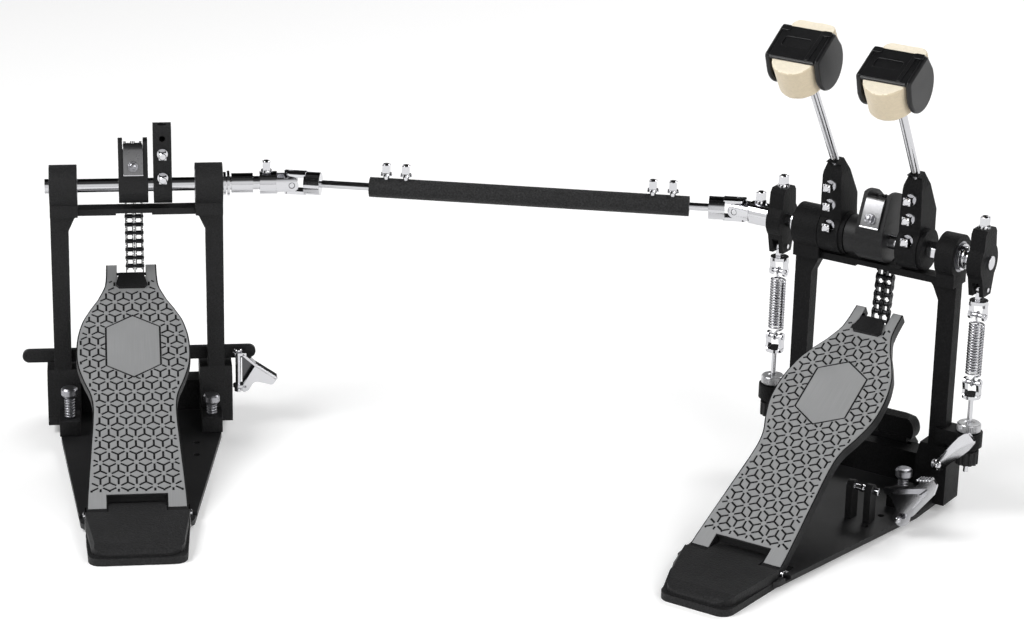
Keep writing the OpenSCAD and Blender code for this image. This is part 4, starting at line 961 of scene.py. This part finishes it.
class PEDAL_OT_spoon_lever(bpy.types.Operator):
    """Makes the dished spoon lever at the right foot"""

    bl_idname = "pedal.spoon_lever"
    bl_label = "Spoon lever"

    def execute(self, context):
        start, end = Vector((1.4, -0.6)), Vector((22.6, 24.2))
        along = (end - start).normalized()
        across = Vector((along.y, -along.x))
        # Share of the length and half the width of each cross section
        stations = [(-0.04, 2.8), (0.0, 3.8), (0.1, 4.2), (0.25, 4.2), (0.45, 4.8), (0.62, 5.5), (0.8, 5.8),
                    (0.93, 5.2), (0.99, 4.4), (1.02, 3.2)]
        rings = []
        for t, half in stations:
            centre = start + (end - start) * t
            ring = []
            for u in (-1 + k / 6 for k in range(13)):
                q = centre + across * half * u
                dish = 0.6 * (1 - u * u) * min(1, 3 * (1.05 - t))
                ring.append((q.x, -9.4 + 0.2 * q.y + dish, q.y))
            for u in (1 - k / 6 for k in range(13)):
                q = centre + across * half * u * 0.96
                ring.append((q.x, -6.8 + 0.2 * q.y + 0.5 * (1 - u * u), q.y))
            rings.append(ring)
        form = Form()
        form.skin(rings)
        form.lathe([(0, 0.3), (3.6, 0.3), (4.2, 0.9), (4.2, 8.4), (3.4, 9.2), (0, 9.2)], UPRIGHT, 32)
        form.lathe([(0, 9.0), (1.7, 9.0), (1.7, 10.0), (1.2, 10.5), (0, 10.6)], UPRIGHT, 20)
        form.build("spoon_lever_blade", FINISH["chrome"], "spoon", "chrome", place=shift(*SPOON_AT),
                   replaces=["primary_wing_lever"], angle=50)
        return {"FINISHED"}


class PEDAL_OT_wing_lever(bpy.types.Operator):
    """Makes the folded wing lever at the side of the slave pedal"""

    bl_idname = "pedal.wing_lever"
    bl_label = "Wing lever"

    def execute(self, context):
        form = Form()
        sheet = Matrix.Translation((0, 4, 0)) @ UPRIGHT
        back = rounded([(3.0, 30.2), (6.0, 29.4), (11.3, 35.9), (25.2, 32.2), (28.8, 37.2), (12.7, 48.4),
                        (3.0, 57.6)], [1, 1.5, 3, 2, 2, 2, 1], 4)
        ridge = rounded([(2.6, 55.8), (12.4, 46.9), (27.6, 36.0), (29.2, 37.0), (28.8, 38.0), (13.0, 49.0),
                         (3.4, 58.0)], [0.4, 2, 0.6, 0.6, 0.6, 2, 0.6], 4)
        wing = rounded([(12.0, 47.4), (3.6, 33.5), (2.2, 30.0), (3.4, 26.4), (7.6, 28.4), (11.6, 35.7),
                        (25.2, 32.0), (28.8, 36.6), (12.8, 47.8)], [1, 4, 2, 1.8, 2.5, 5, 2.4, 1.6, 1], 5)
        # The inner leaf has chrome painted dark: painted shade and dark reflection inside the folded channel
        inside = Form()
        inside.slab(back, 0, 1.5, sheet)
        place = PEDAL["slave"] @ shift(*WING_AT)
        inside.build("wing_lever_inner_leaf", FINISH["shaded"], "slave_wing", "chrome", place=place,
                     bevel=0.4, angle=40)
        form.slab(ridge, 0, 8, sheet)
        form.slab(wing, 6.5, 8, sheet)
        for z in (30.0, 55.6):
            ear = circle_points(0, 0, 4, 90, 270, 12) + [(6, -4), (6, 4)]
            form.slab(ear, z, z + 2.4)
        form.lathe([(0, 26.6), (2.6, 26.6), (3.0, 27.0), (3.0, 29.2), (2.1, 29.4), (2.1, 58.2), (3.0, 58.4),
                    (3.0, 59.6), (2.4, 60.2), (0, 60.2)], steps=24)
        form.build("folded_wing_lever", FINISH["chrome"], "slave_wing", "chrome", place=place,
                   replaces=["slave_wing_lever"], bevel=0.45, segments=3, angle=40)
        return {"FINISHED"}


class PEDAL_OT_tension_nuts(bpy.types.Operator):
    """Makes the finely knurled nuts under the springs"""

    bl_idname = "pedal.tension_nuts"
    bl_label = "Tension nuts"

    def execute(self, context):
        teeth = 42
        grip = [polar(8.5 if k % 2 else 7.8, 180 * k / teeth) for k in range(2 * teeth)]
        core = [(0, 0), (7.4, 0), (8.0, 0.6), (8.0, 5.7), (7.5, 6.3), (3.6, 6.3), (3.2, 6.0), (0, 6.0)]
        for side, sign in (("left", -1), ("right", 1)):
            form = Form().slab(grip, 0.6, 5.6).lathe(core)
            form.build(side + "_knurled_nut", FINISH["knurled"], side + "_nut", "chrome",
                       place=shift(sign * ROCKER_X, 0, NUT_Z), replaces=[side + "_tension_nut"],
                       bevel=0.12, angle=30)
        return {"FINISHED"}


# ---- studio ----


def seen_rays(w):
    """One where the camera looks, through clear pieces too, and the socket of mirrored rays"""
    path = w.node("LightPath").outputs
    return w.most(path["Is Camera Ray"], path["Is Transmission Ray"]), path["Is Glossy Ray"]


class PEDAL_OT_studio(bpy.types.Operator):
    """Makes the pale floor, the soft lights and the camera"""

    bl_idname = "pedal.studio"
    bl_label = "Studio"

    def execute(self, context):
        scene = context.scene
        settings = scene.pedal_studio
        camera_pitch, roll = math.radians(20), math.radians(1.35)
        ahead_x, ahead_y = -0.5412, 0.8409
        forward = (Vector((ahead_x, ahead_y, 0)) * math.cos(camera_pitch)
                   - Vector((0, 0, math.sin(camera_pitch))))
        right = Vector((ahead_y, -ahead_x, 0))
        up = right.cross(forward)
        r = right * math.cos(roll) + up * math.sin(roll)
        u = up * math.cos(roll) - right * math.sin(roll)
        data = bpy.data.cameras.new("camera")
        data.lens = settings.focal
        data.sensor_width = 36
        data.clip_end = 50
        camera = bpy.data.objects.new("camera", data)
        scene.collection.objects.link(camera)
        x, y, z = settings.camera_at
        camera.matrix_world = Matrix(((r.x, u.x, -forward.x, x), (r.y, u.y, -forward.y, y),
                                      (r.z, u.z, -forward.z, z), (0, 0, 0, 1)))
        scene.camera = camera

        side = 6000
        floor = Form()
        floor.slab([(-side, -side), (side, -side), (side, side), (-side, side)], -20, 0)
        material, w, shader = new_finish("pale_floor", Base_Color=(0.90, 0.90, 0.90, 1),
                                         Specular_IOR_Level=0.1, Emission_Color=(1, 1, 1, 1))
        w.put(shader.inputs["Roughness"], w.ramp(w.noise(None, 3.0, 2.0), 0.0, 1.0, 0.86, 0.92))
        lift = w.times(w.most(*seen_rays(w)), settings.floor_lift)
        w.put(shader.inputs["Emission Strength"], lift)
        floor.build("floor", material, None, None)

        # The room is white to the camera, dim above to light the pedal, and in cards to the metal
        world = bpy.data.worlds.new("studio")
        scene.world = world
        world.use_nodes = True
        w = Wires(world.node_tree)
        back = world.node_tree.nodes["Background"]
        back.inputs["Color"].default_value = (1, 1, 1, 1)
        direct, glossy = seen_rays(w)
        split = w.node("SeparateXYZ", _Vector=w.node("TexCoord").outputs["Generated"]).outputs
        soft = {"interpolation_type": "SMOOTHSTEP"}
        ceiling = w.ramp(split["Z"], 0.10, 0.42, settings.sky, settings.ceiling, **soft)
        around = w.maths("ARCTAN2", split["Y"], split["X"])
        wave = w.maths("SINE", w.times(around, settings.cards))
        mirrored = w.times(w.ramp(wave, -0.1, 0.5, 0.02, 1.0, **soft),
                           w.ramp(split["Z"], 0.45, 0.75, 1.0, 0.06, **soft))
        seen = w.most(direct, w.times(glossy, mirrored))
        room = w.times(ceiling, w.maths("SUBTRACT", 1.0, glossy))
        w.put(back.inputs["Strength"], w.most(seen, room))

        for name, at, size, power, aim in (
                ("key", (-1.3, -1.6, 1.9), (1.2, 1.2), 46, (-0.1, -0.1, 0.1)),
                ("fill", (1.9, -1.0, 1.5), (1.2, 1.2), 24, (0, 0, 0.1)),
                ("rim", (0.2, 1.9, 1.9), (2.4, 0.7), 34, (-0.1, 0, 0.15))):
            light = bpy.data.lights.new(name, "AREA")
            light.shape = "RECTANGLE"
            light.size, light.size_y = size
            light.energy = power
            lamp = bpy.data.objects.new(name, light)
            scene.collection.objects.link(lamp)
            lamp.location = at
            lamp.rotation_euler = (Vector(aim) - Vector(at)).to_track_quat("-Z", "Y").to_euler()
        scene.view_settings.view_transform = "Standard"
        return {"FINISHED"}


# ---- panel and registration ----


class PEDAL_PT_panel(bpy.types.Panel):
    """Lists the steps in the order in which they run"""

    bl_idname = "PEDAL_PT_panel"
    bl_label = "Pedal"
    bl_space_type = "VIEW_3D"
    bl_region_type = "UI"
    bl_category = "Pedal"

    def draw(self, context):
        for step in STEPS:
            self.layout.operator(step.bl_idname)


STEPS = (PEDAL_OT_studio, PEDAL_OT_finishes, PEDAL_OT_board_plates, PEDAL_OT_chain_clips, PEDAL_OT_felts,
         PEDAL_OT_cradles, PEDAL_OT_springs, PEDAL_OT_thumb_lever, PEDAL_OT_spoon_lever,
         PEDAL_OT_wing_lever, PEDAL_OT_tension_nuts)
SETTINGS = {"pedal_finish": PedalFinishSettings, "pedal_shape": PedalShapeSettings,
            "pedal_studio": PedalStudioSettings}


def register():
    for cls in (*SETTINGS.values(), *STEPS, PEDAL_PT_panel):
        bpy.utils.register_class(cls)
    for name, cls in SETTINGS.items():
        setattr(bpy.types.Scene, name, bpy.props.PointerProperty(type=cls))


def unregister():
    for name in SETTINGS:
        delattr(bpy.types.Scene, name)
    for cls in (PEDAL_PT_panel, *reversed(STEPS), *SETTINGS.values()):
        bpy.utils.unregister_class(cls)


def main():
    register()
    for step in STEPS:
        group, action = step.bl_idname.split(".")
        getattr(getattr(bpy.ops, group), action)()


if __name__ == "__main__":
    main()
